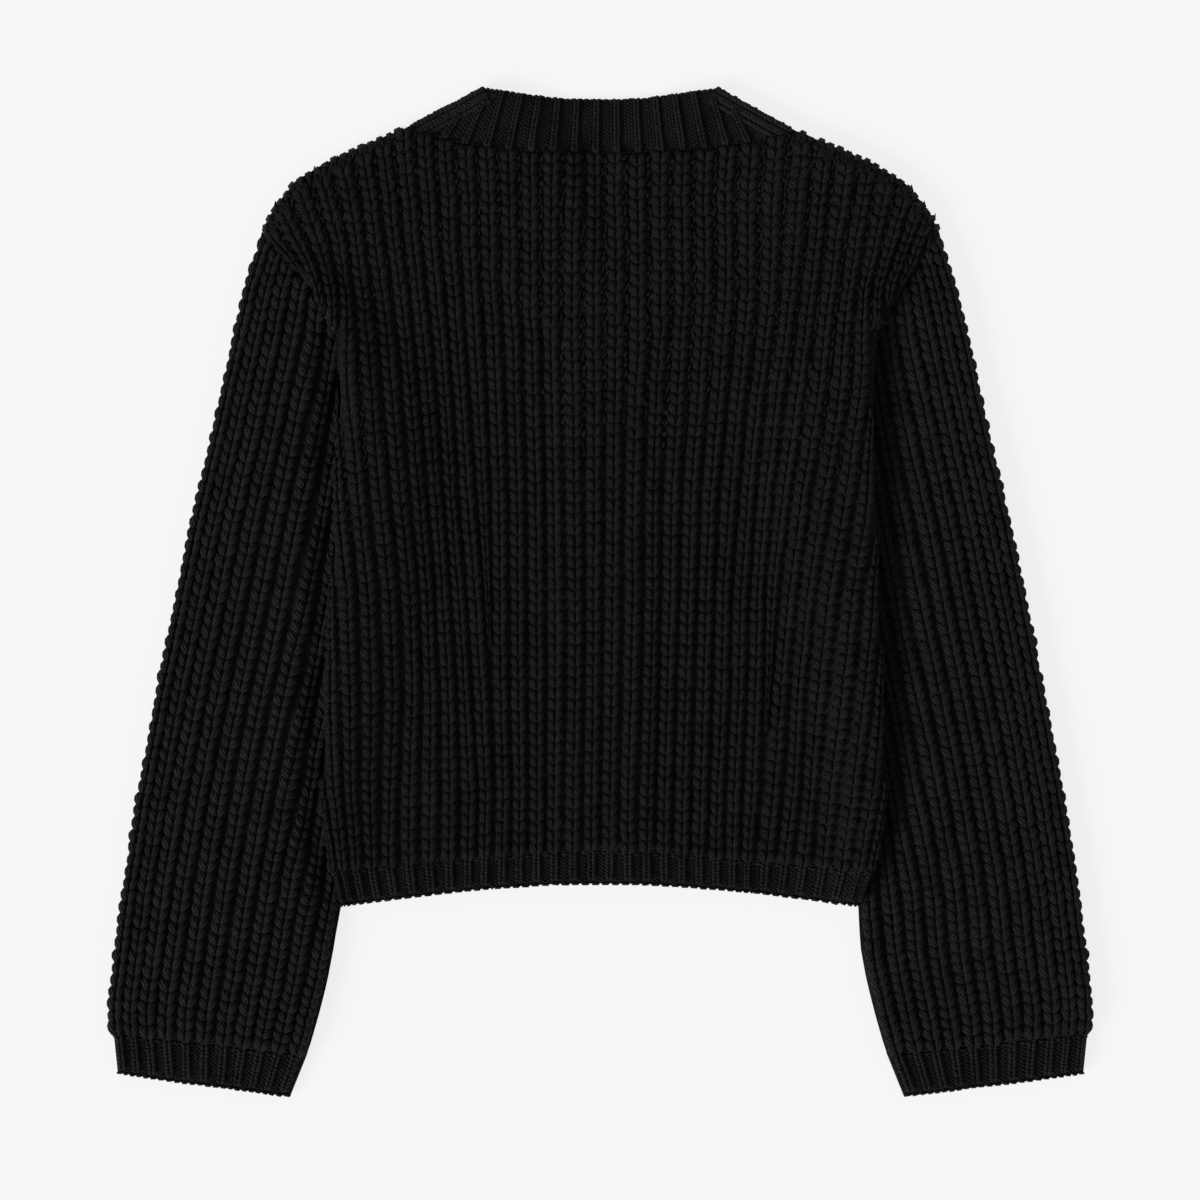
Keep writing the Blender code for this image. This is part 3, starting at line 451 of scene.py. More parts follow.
def find_height(place, target, low, high):
    """Heights at which paths meet an edge that is given as a height at each distance."""
    for _ in range(HALVINGS):
        middle = 0.5 * (low + high)
        below = middle < target(place(middle))
        low = np.where(below, middle, low)
        high = np.where(below, high, middle)
    return 0.5 * (low + high)


def lean(share, height):
    """How far the back leans to the right: share is -1 at its left edge and 1 at its right."""
    left, middle, right = [curve(RIB_LEAN, height, 0, column) for column in (1, 2, 3)]
    edge = np.where(np.asarray(share) > 0.0, right, left)
    return middle * (1.0 - share ** 2) + edge * share ** EDGE_POWER


def back_x(line, height):
    """Place across the back of a rib line, which is below 0 on the left half."""
    return np.sign(line) * rib_x(line, height) + lean(line / BODY_RIBS, height)


def rib_width(line, height):
    """Width of the rib that a line lies in."""
    centre = np.floor(line) + 0.5
    return np.abs(back_x(centre + HALF_RIB, height) - back_x(centre - HALF_RIB, height))


def body_edge(side, height):
    """Distance from the centre of the body's left edge, for side -1, or of its right edge."""
    side = np.asarray(side, float)
    return curve(BODY_SIDE, height) + side * lean(side, height)


def inside_body(x, y):
    """How far a place lies inside the body's nearer side."""
    return body_edge(np.sign(x), y) - np.abs(x)


# Where closely spaced lines start at the hem's seam and end at the top of the back.
FINE_LINES = np.linspace(-BODY_RIBS, BODY_RIBS, 16 * BODY_RIBS + 1)
LINE_LOW, LINE_HIGH = [
    find_height(lambda y: back_x(FINE_LINES, y), lambda x: curve(edge, np.abs(x)), *heights)
    for edge, heights in ((HEM_SEAM, HEM_HEIGHTS), (BODY_TOP, TOP_HEIGHTS))
]


def sleeve_x(share, height, side):
    """Distance from the centre at a share of the way from a sleeve's outer edge to its inner."""
    outer = curve(SLEEVE_OUTER, height)
    start, end = INNER_SHIFT_HEIGHTS
    shift = np.where(np.asarray(side) > 0, INNER_SHIFT[1], INNER_SHIFT[-1])
    inner = curve(SLEEVE_INNER, height) + shift * smooth((start - height) / (start - end))
    return outer + share * (inner - outer)


def opening_bend(height):
    """Height above the start of the V-neck, which starts in a bend."""
    above = height - V_START
    return 0.5 * (above + np.hypot(above, V_BEND))


def attached_x(height):
    """Distance from the centre of the seam of a front band."""
    return BAND_HALF + ATTACHED_SLOPE * opening_bend(height)


def free_x(height):
    """The same for its free edge, which is below 0 where it lies past the centre."""
    return FREE_SLOPE * opening_bend(height) - BAND_HALF


def lift(x, y):
    """Height of the underside of the body, which lies over the sleeves."""
    out = np.abs(x)
    inside = (out - sleeve_x(1.0, y, np.sign(x))) * SLEEVE_COSINE
    over_edge = smooth((inside + LIFT_START) / LIFT_RAMP)
    corner_x, corner_y = ARMHOLE_CORNER
    (x0, y0), (x1, y1) = ARMHOLE[1], ARMHOLE_CORNER
    length = math.hypot(x1 - x0, y1 - y0)
    below = ((out - x0) * (y1 - y0) - (y - y0) * (x1 - x0)) / length
    width = LIFT_INSIDE * np.clip((corner_x - out) / LIFT_CORNER, 0.0, 1.0)
    over_end = smooth((below + LIFT_OUTSIDE) / (LIFT_OUTSIDE + width))
    shoulder_y = SHOULDER_POINT[1]
    up_seam = smooth((shoulder_y - y) / (shoulder_y - corner_y))
    return LIFT * over_edge * over_end * up_seam


def band_raise(y):
    """1 where one band lies on the other, and 0 above, where they are apart."""
    low, high = BAND_DROP
    return 1.0 - smooth((y - low) / (high - low))


def band_wall(y):
    share = smooth((y - BAND_DROP[1]) / BAND_WALL_RAMP)
    return BAND_WALL + share * (BAND_WALL_AT_NECK - BAND_WALL)


def support(x, y):
    """Height of the underside of the back, on the fronts or in the neck opening."""
    out = np.abs(x)
    inside_opening = (free_x(y) - out) * OPENING_COSINE
    cover = 1.0 - smooth((inside_opening - OPENING_MARGIN) / OPENING_SAG)
    stack = BAND_STACK + BAND_WALL - FRONT_WALL + SEAM_GAP
    reach = BAND_HALF + STACK_REACH + STACK_SPREAD * np.maximum(y - V_START, 0.0)
    stacked = stack * (1.0 - smooth((out - reach) / STACK_RAMP)) * band_raise(y)
    raised = lift(x, y)
    slope_gap = SLOPE_GAP * 4.0 * (raised / LIFT) * (1.0 - raised / LIFT)
    return raised + slope_gap + cover * (FRONT_WALL + LAYER_GAP) + stacked


# ---------------------------------------------------------------- surfaces
# Each takes a rib line and a row of stitches and gives points of the cloth between ribs.

def back_plan(line, row):
    """Place of a line and row of the back, and the heights at which the line starts and ends."""
    low = np.interp(line, FINE_LINES, LINE_LOW) + 0.5 * SEAM_GAP
    high = np.interp(line, FINE_LINES, LINE_HIGH)
    y = low + row / BODY_STITCHES * (high - low)
    return back_x(line, y), y, low, high


def back_top(line, row, side_depth):
    """Top of the back, which its sides drop from by side_depth below the armholes."""
    x, y, low, high = back_plan(line, row)
    top_x = np.interp(line, FINE_LINES, np.abs(back_x(FINE_LINES, LINE_HIGH)))
    on_neck = smooth((NECK_POINT[0] + 0.5 * NECK_BLEND - top_x) / NECK_BLEND)
    to_top = high - y
    top = edge_drop(to_top, *BACK_NECK_ROUND) * on_neck
    top = top + edge_drop(to_top, *SHOULDER_ROUND) * (1.0 - on_neck)
    on_armhole = smooth((y - ARMHOLE_START) / ARMHOLE_RAMP)
    side_depth = side_depth + on_armhole * (ARMHOLE_DEPTH - side_depth)
    drop = np.maximum(edge_drop(inside_body(x, y), SIDE_ROUND, side_depth), top)
    drop = np.maximum(drop, edge_drop(y - low, *BACK_HEM_ROUND))
    return np.stack([x, y, support(x, y) + SHELL - drop], -1)


def back_surface(line, row):
    return back_top(line, row, SHELL - THINNEST)


def back_knit(line, row):
    """Where the stitches of the back lie, which turn down round its sides."""
    return back_top(line, row, SIDE_TURN)


def back_underside(line, row):
    x, y, _, _ = back_plan(line, row)
    return np.stack([x, y, support(x, y)], -1)


def hem_plan(line, share):
    low = np.interp(line, FINE_LINES, LINE_LOW) + 0.5 * SEAM_GAP
    x_seam = back_x(line, low)
    x_edge = np.sign(line) * rib_x(line, HEM_EDGE[-1][1])
    y_seam = curve(HEM_SEAM, np.abs(x_seam)) - 0.5 * SEAM_GAP
    y = y_seam + share * (curve(HEM_EDGE, np.abs(x_edge)) - y_seam)
    return x_seam + share * (x_edge - x_seam), y


def hem_surface(line, share):
    """Top of the back's hem: share is 0 at its seam and 1 at its lower edge."""
    x, y = hem_plan(line, share)
    drop = np.maximum(edge_drop(share * HEM_HEIGHT, *HEM_SEAM_ROUND),
                      edge_drop((1.0 - share) * HEM_HEIGHT, *HEM_FREE_ROUND))
    drop = np.maximum(drop, edge_drop(inside_body(x, y), HEM_SIDE_ROUND, HEM_BASE - THINNEST))
    return np.stack([x, y, support(x, y) + HEM_BASE - drop], -1)


def rib_share(line):
    """Share of a sleeve's width at a rib line, carried on past its edges."""
    share = curve(SLEEVE_RIB_STARTS, line)
    past = np.minimum(line, 0.0) + np.maximum(line - SLEEVE_RIBS, 0.0)
    return share + past / SLEEVE_RIBS


def trough(x, y, side):
    """How much lower a sleeve lies along the edge of the body than elsewhere."""
    outside = x - body_edge(side, y)
    reach, flat = TROUGH_OUTSIDE[side], TROUGH_FLAT[side]
    across = smooth((reach - outside) / (reach - flat)) * smooth(1.0 + outside / TROUGH_INSIDE)
    low, low_full, high_full, high = TROUGH_HEIGHTS
    along = smooth((y - low) / (low_full - low)) * smooth((high - y) / (high - high_full))
    return TROUGH * across * along


def armhole(side):
    """Seam of a sleeve with the body, which leans with the body's edge."""
    return [(x + (y > ARMHOLE_LEAN) * side * float(lean(float(side), y)), y) for x, y in ARMHOLE]


def sleeve_ends(share, side):
    """Heights of a sleeve's lower end and of its armhole, clear of the seams there."""
    low = curve(SLEEVE_END, FINE_SHARES)
    seam = armhole(side)
    high = find_height(lambda y: sleeve_x(FINE_SHARES, y, side), lambda x: curve(seam, x),
                       *ARMHOLE_HEIGHTS)
    clear_low = np.interp(share, FINE_SHARES, low) + 0.5 * SEAM_GAP
    return clear_low, np.interp(share, FINE_SHARES, high) - 2.0 * SEAM_GAP


def sleeve_plan(line, row, side):
    share = rib_share(line)
    low, high = sleeve_ends(share, side)
    y = low + row / SLEEVE_STITCHES * (high - low)
    x = sleeve_x(share, y, side)
    width = np.abs(sleeve_x(0.0, y, side) - sleeve_x(1.0, y, side))
    return share, x, y, low, high, width


def press(x, y, side):
    """Height that the body leaves for the sleeve under it, and a free height elsewhere."""
    free = smooth((HEM_EDGE[-1][1] - y) / FREE_RAMP)
    limit = lift(side * x, y) - LIFT_GAP + free * LIFT
    return np.where((y > ARMHOLE_CORNER[1]) & (x > ARMHOLE_CORNER[0]), NO_LIMIT, limit)


def sleeve_surface(side):
    def surface(line, row):
        share, x, y, low, high, width = sleeve_plan(line, row, side)
        drop = folds_drop(share, width, FOLD_ROUND, SLEEVE_BASE - SLEEVE_MIDDLE)
        end = np.minimum(y - low, (high - y) * ARMHOLE_COSINE)
        drop = np.maximum(drop, edge_drop(end, *SLEEVE_END_ROUND))
        top = np.minimum(SLEEVE_BASE - trough(x, y, side) - drop, press(x, y, side))
        return np.stack([side * x, y, np.maximum(top, LOWEST_TOP)], -1)
    return surface


def sleeve_under(side):
    def surface(line, row):
        share, x, y, _, _, width = sleeve_plan(line, row, side)
        base = np.minimum(SLEEVE_BASE - trough(x, y, side), press(x, y, side)) / SLEEVE_BASE
        up = folds_drop(share, width, FOLD_ROUND, (SLEEVE_MIDDLE - UNDER_BASE) * base)
        return np.stack([side * x, y, UNDER_BASE * base + up], -1)
    return surface


def cuff_plan(line, share_down, side):
    """Plan of a cuff: share_down is 0 at its seam and 1 at its edge."""
    share = rib_share(line)
    seam_y = curve(SLEEVE_END, share) - 0.5 * SEAM_GAP
    seam_x = sleeve_x(share, seam_y, side) - CUFF_INSET * (1.0 - share)
    edge_x = curve(CUFF_EDGE, share, 0, 1) + share * INNER_SHIFT[side]
    edge_y = curve(CUFF_EDGE, share, 0, 2)
    x = seam_x + share_down * (edge_x - seam_x)
    y = seam_y + share_down * (edge_y - seam_y)
    return share, x, y, seam_y - edge_y


def cuff_surface(side):
    def surface(line, share_down):
        share, x, y, length = cuff_plan(line, share_down, side)
        drop = folds_drop(share, CUFF_WIDTH, CUFF_FOLD, CUFF_BASE - CUFF_MIDDLE)
        end = np.minimum(share_down, 1.0 - share_down) * length
        drop = np.maximum(drop, edge_drop(end, *CUFF_END_ROUND))
        return np.stack([side * x, y, CUFF_BASE - drop], -1)
    return surface


def cuff_under(side):
    def surface(line, share_down):
        share, x, y, _ = cuff_plan(line, share_down, side)
        up = folds_drop(share, CUFF_WIDTH, CUFF_FOLD, CUFF_MIDDLE - CUFF_UNDER)
        return np.stack([side * x, y, CUFF_UNDER + up], -1)
    return surface


def along_line(points, distance):
    """Place at a distance along a line of points."""
    points = np.array(points)
    spans = np.hypot(*(points[1:] - points[:-1]).T)
    reach = np.concatenate(([0.0], np.cumsum(spans)))
    return np.interp(distance, reach, points[:, 0]), np.interp(distance, reach, points[:, 1])


def neck_plan(wale, share):
    """Plan of the neckband: share is 0 at its seam and 1 at its top edge."""
    seam_x = NECK_MIDDLE + NECK_WALE * wale
    seam_y = curve(BODY_TOP, np.minimum(np.abs(seam_x), NECK_POINT[0] - NECK_INSET)) + SEAM_GAP
    out = np.abs(wale)
    plans = {}
    for side, column in ((-1, 1), (1, 2)):
        edge = [(side * x, y) for x, y in NECK_EDGE]
        distance = curve(NECK_FAN, out, 0, column)
        plans[side] = along_line([(NECK_MIDDLE, NECK_EDGE[0][1])] + edge[1:], distance)
    x = np.where(wale >= 0.0, plans[1][0], plans[-1][0])
    y = np.where(wale >= 0.0, plans[1][1], plans[-1][1])
    return seam_x + share * (x - seam_x), seam_y + share * (y - seam_y)


def fold_distance(x, y):
    """How far a place lies inside the neckband's folded corner."""
    (x0, y0), (x1, y1) = NECK_EDGE[NECK_CORNER], NECK_EDGE[-1]
    length = math.hypot(x1 - x0, y1 - y0)
    return -((np.abs(x) - x0) * -(y1 - y0) + (y - y0) * (x1 - x0)) / length


def neck_surface(wale, share):
    x, y = neck_plan(wale, share)
    x0, y0 = neck_plan(wale, 0.0 * share)
    x1, y1 = neck_plan(wale, 0.0 * share + 1.0)
    height = np.hypot(x1 - x0, y1 - y0)
    drop = np.maximum(edge_drop(share * height, *NECK_SEAM_ROUND),
                      edge_drop((1.0 - share) * height, *NECK_TOP_ROUND))
    drop = np.maximum(drop, edge_drop(fold_distance(x, y), FOLD_ROUND, NECK_BASE - 1.0))
    return np.stack([x, y, support(x, y) + NECK_BASE - drop], -1)


def neck_underside(wale, share):
    x, y = neck_plan(wale, share)
    return np.stack([x, y, support(x, y)], -1)


# ---------------------------------------------------------------- mesh helpers

# Steps inside its limits from which a surface is carried on in a straight line.
LIMIT_STEPS = 1.5
# How unlike each other strands are: share of their sizes, and millimetres across and along.
SIZE_JITTER = (0.06, 0.05, 0.06)
PLACE_JITTER = (0.12, 0.22)
# The most that a random share may be, and the length of yarn over which its twist starts.
JITTER_MOST = 2.2
YARN_START = 40.0
# Steps in line and row by which a surface's slope is found under the stitches of a panel.
STITCH_STEPS = (0.02, 0.05)


def inner_part(values, limit, step):
    """Values kept just inside a pair of limits."""
    return np.clip(values, limit[0] + LIMIT_STEPS * step, limit[1] - LIMIT_STEPS * step)


def slope(surface, a, b, step_a, step_b):
    """Derivatives of a surface by its two parameters, and its unit normal, facing up."""
    da = (surface(a + step_a, b) - surface(a - step_a, b)) / (2.0 * step_a)
    db = (surface(a, b + step_b) - surface(a, b - step_b)) / (2.0 * step_b)
    normal = np.cross(da, db)
    normal /= np.maximum(np.linalg.norm(normal, axis=-1, keepdims=True), 1e-9)
    return da, db, np.where(normal[..., 2:] < 0.0, -normal, normal)


def mapped(surface, limits, a, b, height, step_a, step_b):
    """Points at a height over a surface, carried on in a straight line past its limits."""
    inside_a = inner_part(a, limits[0], step_a)
    inside_b = inner_part(b, limits[1], step_b)
    da, db, normal = slope(surface, inside_a, inside_b, step_a, step_b)
    points = surface(inside_a, inside_b)
    points = points + (a - inside_a)[..., None] * da + (b - inside_b)[..., None] * db
    return points + height[..., None] * normal


def shoulder_sag(x, y):
    """How much lower the right shoulder lies than the same place on the left."""
    inside, outside, up = [
        smooth((value - start) / width)
        for value, (start, width) in ((x, SAG_INSIDE), (x, SAG_OUTSIDE), (y, SAG_UP))
    ]
    return SHOULDER_SAG * (inside * (1.0 - outside)) * up


def new_object(name, points, faces, material, yarn=None):
    """A mesh piece from points in millimetres, smooth all over."""
    points = np.asarray(points, float).reshape(-1, 3).copy()
    points[:, 1] -= shoulder_sag(points[:, 0], points[:, 1]) + MIDDLE_Y
    mesh = bpy.data.meshes.new(name)
    faces = faces.tolist() if hasattr(faces, "tolist") else faces
    mesh.from_pydata((points * MM).tolist(), [], faces)
    mesh.materials.append(material)
    if yarn is not None:
        layer = mesh.uv_layers.new(name="yarn")
        layer.uv.foreach_set("vector", np.asarray(yarn, np.float32).ravel())
    mesh.shade_smooth()
    mesh.validate()
    made = bpy.data.objects.new(name, mesh)
    bpy.context.scene.collection.objects.link(made)
    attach(made, "root")
    return made


def strand_template(table, angles):
    """Points of one strand round its centre line, its faces, and their place on the yarn."""
    rows = np.array(table)
    centres = rows[:, :3]
    length = np.concatenate(([0.0], np.cumsum(np.linalg.norm(np.diff(centres, axis=0), axis=1))))
    points = [centres[0]]
    places = [(0.0, length[0])]
    turns = np.radians(angles)
    for k in range(1, len(rows) - 1):
        ahead = centres[k + 1] - centres[k - 1]
        across = np.array((ahead[1], -ahead[0], 0.0)) / math.hypot(ahead[0], ahead[1])
        for turn in turns:
            offset = rows[k, 3] * math.cos(turn) * across
            points.append(centres[k] + (offset + rows[k, 4] * math.sin(turn) * np.array((0, 0, 1.0))))
    points.append(centres[-1])
    count = len(angles)
    rings = len(rows) - 2
    faces = []
    spots = []
    last = 1 + rings * count

    def spot(ring, side):
        return side / count, length[ring]

    for side in range(count):
        after = (side + 1) % count
        faces.append((0, 1 + after, 1 + side, -1))
        spots.append((spot(0, side + 0.5), spot(1, side + 1), spot(1, side), None))
        for ring in range(rings - 1):
            low = 1 + ring * count
            faces.append((low + side, low + after, low + count + after, low + count + side))
            spots.append((spot(ring + 1, side), spot(ring + 1, side + 1),
                          spot(ring + 2, side + 1), spot(ring + 2, side)))
        low = 1 + (rings - 1) * count
        faces.append((low + side, low + after, last, -1))
        spots.append((spot(rings, side), spot(rings, side + 1), spot(rings + 1, side + 0.5), None))
    return np.array(points), faces, spots


def stitch_frame(surface, limits, spots, steps):
    """Distance between ribs at each stitch, and how much of a row its ribs lean by."""
    places = [inner_part(spots[:, k], limits[k], steps[k]) for k in range(2)]
    da, db, _ = slope(surface, *places, *steps)
    length = np.maximum(np.linalg.norm(db, axis=-1), 1e-6)
    along = (da * db).sum(-1) / length
    spread = np.sqrt(np.maximum((da * da).sum(-1) - along * along, 1e-6))
    return spread[:, None], (along / length)[:, None]


def strands(table, angles, spots, surface, limits, pitch, steps=STITCH_STEPS, press_to=None,
            jitter=1.0, scale=(1.0, 1.0, 1.0), overhang=None, widen=0.0):
    """Points, faces and yarn places of many strands. spots: line, row, side (1 or -1)."""
    spots = np.asarray(spots, float)
    template, faces, places = strand_template(table, angles)
    number = len(spots)
    noise = np.clip(RANDOM.normal(0.0, 1.0, (number, 6)), -JITTER_MOST, JITTER_MOST) * jitter
    u, v, w = [template[:, k][None] * scale[k] * (1.0 + SIZE_JITTER[k] * noise[:, k:k + 1])
               for k in range(3)]
    u = u + TILT * noise[:, 5:6] * (v - v.mean()) + PLACE_JITTER[0] * noise[:, 3:4]
    v = v + PLACE_JITTER[1] * noise[:, 4:5]
    spread, lean = stitch_frame(surface, limits, spots, steps)
    wider = np.maximum(spread / abs(pitch[0]), 1.0)
    step = spots[:, 2:3] * u / (pitch[0] * wider ** (1.0 - widen))
    line = spots[:, :1] + step
    row = spots[:, 1:2] + v / pitch[1] - step * lean
    if overhang is not None:
        row = np.clip(row, limits[1][0] - overhang, limits[1][1] + overhang)
    points = mapped(surface, limits, line, row, w, *steps)
    if press_to is not None:
        points = press_to(points)
    count = template.shape[0]
    middle = [np.array([0.5 * sum(limit)]) for limit in limits]
    da, db, _ = slope(surface, *middle, *steps)
    turned = (np.cross(da, db)[0, 2] * pitch[0] * pitch[1] < 0.0) != (scale[2] < 0.0)
    flip = (spots[:, 2] < 0.0) != turned
    phase = RANDOM.uniform(0.0, YARN_START, number)
    joined = []
    yarn = []
    for face, spot in zip(faces, places):
        corners = [k for k in range(4) if face[k] >= 0]
        index = np.arange(number)[:, None] * count + np.array([face[k] for k in corners])[None]
        index[flip] = index[flip][:, ::-1]
        both = np.repeat(np.array([spot[k] for k in corners])[None], number, 0)
        both[..., 1] += phase[:, None]
        both[flip] = both[flip][:, ::-1]
        joined += index.tolist()
        yarn.append(both.reshape(-1, 2))
    return points.reshape(-1, 3), joined, np.concatenate(yarn)


def knitted(name, parts, material):
    """One piece from several lots of strands."""
    points = np.concatenate([part[0] for part in parts])
    faces = []
    start = 0
    for part in parts:
        faces += [[k + start for k in face] for face in part[1]]
        start += len(part[0])
    made = new_object(name, points, faces, material, np.concatenate([part[2] for part in parts]))
    return made


def grid_object(name, outer, inner, material):
    """A closed wall between two grids of points of the same size."""
    rows, columns = outer.shape[:2]
    index = np.arange(rows * columns).reshape(rows, columns)
    under = index + rows * columns

    def quads(grid, turned):
        made = np.stack([grid[:-1, :-1], grid[:-1, 1:], grid[1:, 1:], grid[1:, :-1]], -1).reshape(-1, 4)
        return made[:, ::-1] if turned else made

    faces = [quads(index, False), quads(under, True)]
    rim = np.concatenate([index[0, :-1], index[:-1, -1], index[-1, :0:-1], index[:0:-1, 0]])
    after = np.roll(rim, -1)
    low = rows * columns
    faces.append(np.stack([rim, rim + low, after + low, after], -1))
    points = np.concatenate([outer.reshape(-1, 3), inner.reshape(-1, 3)])
    return new_object(name, points, np.concatenate(faces), material)


def tube_object(name, grids, material):
    """A flattened tube open at both ends: grids are top, slot top, slot under and under."""
    ring = np.concatenate([grids[0], grids[3][:, ::-1]], 1)
    inside = np.concatenate([grids[1], grids[2][:, ::-1]], 1)
    rows, columns = ring.shape[:2]
    index = np.arange(rows * columns).reshape(rows, columns)
    inner = index + rows * columns
    faces = []
    for grid, turned in ((index, False), (inner, True)):
        after = np.roll(grid, -1, 1)
        made = np.stack([grid[:-1], after[:-1], after[1:], grid[1:]], -1).reshape(-1, 4)
        faces.append(made[:, ::-1] if turned else made)
    for row, turned in ((0, True), (-1, False)):
        after = np.roll(index[row], -1)
        inner_after = np.roll(inner[row], -1)
        made = np.stack([index[row], after, inner_after, inner[row]], -1)
        faces.append(made[:, ::-1] if turned else made)
    points = np.concatenate([ring.reshape(-1, 3), inside.reshape(-1, 3)])
    return new_object(name, points, np.concatenate(faces), material)


# ---------------------------------------------------------------- materials

def set_inputs(tree, node, values):
    """Sets inputs of a shader node: a number or colour as it is, another node's output by a link."""
    for key, value in values.items():
        if isinstance(value, bpy.types.NodeSocket):
            tree.links.new(value, node.inputs[key])
        else:
            node.inputs[key].default_value = value


def add_node(tree, kind, values=None, operation=None):
    """Adds a shader node, with its inputs set."""
    made = tree.nodes.new("ShaderNode" + kind)
    if operation:
        made.operation = operation
    set_inputs(tree, made, values or {})
    return made


def maths(tree, operation, *values):
    """Output of a maths node."""
    return add_node(tree, "Math", dict(enumerate(values)), operation).outputs[0]


def tone_between(tree, factor, dark, light, start=0.0):
    """Colour that goes from dark to light as a factor goes from start to 1."""
    made = add_node(tree, "ValToRGB", {"Fac": factor})
    for element, position, tone in zip(made.color_ramp.elements, (start, 1.0), (dark, light)):
        element.position = position
        element.color = (*tone, 1.0)
    return made.outputs["Color"]


def new_material(name):
    """A material and its tree of nodes."""
    made = bpy.data.materials.new(name)
    made.use_nodes = True
    return made, made.node_tree


def finish_material(tree, tone, grain, rough, height, depth, more):
    """Links a material's shader: its colour, a range of roughness by its grain, and its bump."""
    grainy = add_node(tree, "MapRange", {"Value": grain, "To Min": rough[0], "To Max": rough[1]})
    bump = add_node(tree, "Bump", {"Height": height, "Strength": 1.0, "Distance": depth})
    set_inputs(tree, tree.nodes["Principled BSDF"], {
        "Base Color": tone, "Roughness": grainy.outputs["Result"],
        "Normal": bump.outputs["Normal"], **more,
    })


# Size of the mottling of the wool, and the factor below which it stays at its darkest.
MOTTLE_SCALE = 60.0
MOTTLE_START = 0.78
ROUGH_RANGE = 0.12
# Turns of the plies and of their streaks to a millimetre of yarn, and the streaks' size.
PLY_TWIST = -0.25
STREAK_TWIST = 0.15
STREAK_SCALE = 2.2
# How much the plies' roundness and their streaks count, in the bump and in the painted ply shade of the
# colour, and the plies against single fibres.
PLY_SHARE = 0.9
STREAK_SHARE = 1.6
RELIEF_SHARE = 0.8


def wool(name, colour, deep, ply=5.0, ply_depth=0.0006, fibre_scale=750.0, roughness=0.66,
         shine=0.10, sheen=0.015, streaks=0.45, yarn=True):
    """Black wool: dark mottled fibre, with the twist of the plies along each strand and painted shade in
    the grooves between them.
    """
    made, tree = new_material(name)
    place = add_node(tree, "TexCoord").outputs["Object"]
    mottle = add_node(tree, "TexNoise", {"Vector": place, "Scale": MOTTLE_SCALE, "Detail": 3.0})
    fibre = add_node(tree, "TexNoise", {"Vector": place, "Scale": fibre_scale, "Detail": 2.0})
    fibre = height = fibre.outputs["Fac"]
    both = maths(tree, "MULTIPLY_ADD", fibre, 1.0, mottle.outputs["Fac"])
    tone = tone_between(tree, both, deep, colour, MOTTLE_START)
    if yarn:
        uv = add_node(tree, "UVMap")
        uv.uv_map = "yarn"
        around, along, _ = add_node(tree, "SeparateXYZ", {0: uv.outputs["UV"]}).outputs
        turns = maths(tree, "MULTIPLY", around, ply)
        twist = maths(tree, "MULTIPLY_ADD", along, PLY_TWIST, turns)
        wave = maths(tree, "SINE", maths(tree, "MULTIPLY", twist, 2.0 * math.pi))
        drawn = maths(tree, "MULTIPLY", along, STREAK_TWIST)
        strand = add_node(tree, "CombineXYZ", {"X": twist, "Y": drawn}).outputs[0]
        streak = add_node(tree, "TexNoise", {"Vector": strand, "Scale": STREAK_SCALE, "Detail": 1.0})
        uneven = maths(tree, "MULTIPLY_ADD", streak.outputs["Fac"], STREAK_SHARE, -0.5 * STREAK_SHARE)
        plies = maths(tree, "MULTIPLY_ADD", wave, PLY_SHARE, uneven)
        height = maths(tree, "MULTIPLY_ADD", plies, RELIEF_SHARE, fibre)
        # Painted shade and random tone: the colour follows the plies, darker along their grooves where
        # the bump lies lower and lighter on their crests, with streaks of tone that differ at random.
        ply_shade_and_streak_tint = maths(tree, "MULTIPLY_ADD", plies, streaks, 1.0)
        tone = add_node(tree, "VectorMath", {0: tone, "Scale": ply_shade_and_streak_tint}, "SCALE").outputs["Vector"]
    rough = (roughness - ROUGH_RANGE, min(roughness + ROUGH_RANGE, 1.0))
    finish_material(tree, tone, fibre, rough, height, ply_depth, {
        "Metallic": 0.0, "Specular IOR Level": shine, "Sheen Weight": sheen, "Sheen Roughness": 0.45,
    })
    return made


COLOUR = (0.0078, 0.0078, 0.0079)
DEEP = (0.0034, 0.0034, 0.0035)
# Painted light: the cloth between the ribs is the same wool as the ribs, given a lighter tone so that the
# shaded valleys look lit.
VALLEY_PAINTED_LIGHT = (0.0098, 0.0098, 0.0100)
VALLEY_PAINTED_DEEP = (0.0048, 0.0048, 0.0049)

rib_wool = wool("rib_wool", COLOUR, DEEP)
# The back's wool has a deeper ply bump and a stronger painted ply shade.
back_wool = wool("back_wool", COLOUR, DEEP, ply=6.0, ply_depth=0.0010, streaks=0.6)
trim_wool = wool("trim_wool", COLOUR, DEEP, ply=3.0, ply_depth=0.00025)
# Painted light: shells and valley bumps take the lighter valley tone, and no shine.
valley_wool_painted_light = wool("valley_wool_painted_light", VALLEY_PAINTED_LIGHT, VALLEY_PAINTED_DEEP, ply_depth=0.0004, fibre_scale=500.0, roughness=0.9,
                   shine=0.0, sheen=0.0, yarn=False)
valley_trim_painted_light = wool("valley_trim_painted_light", VALLEY_PAINTED_LIGHT, VALLEY_PAINTED_DEEP, ply_depth=0.0002, fibre_scale=700.0, roughness=0.9,
                   shine=0.0, sheen=0.0, yarn=False)


def button_material():
    """Black horn-like plastic with faint streaks."""
    made, tree = new_material("button_horn")
    place = add_node(tree, "TexCoord").outputs["Object"]
    streak = add_node(tree, "TexNoise", {"Vector": place, "Scale": 180.0, "Distortion": 1.5})
    streak = streak.outputs["Fac"]
    tone = tone_between(tree, streak, (0.008, 0.0075, 0.0075), (0.022, 0.020, 0.019))
    finish_material(tree, tone, streak, (0.25, 0.45), streak, 0.0001, {"Specular IOR Level": 0.5})
    return made


# ---------------------------------------------------------------- the back

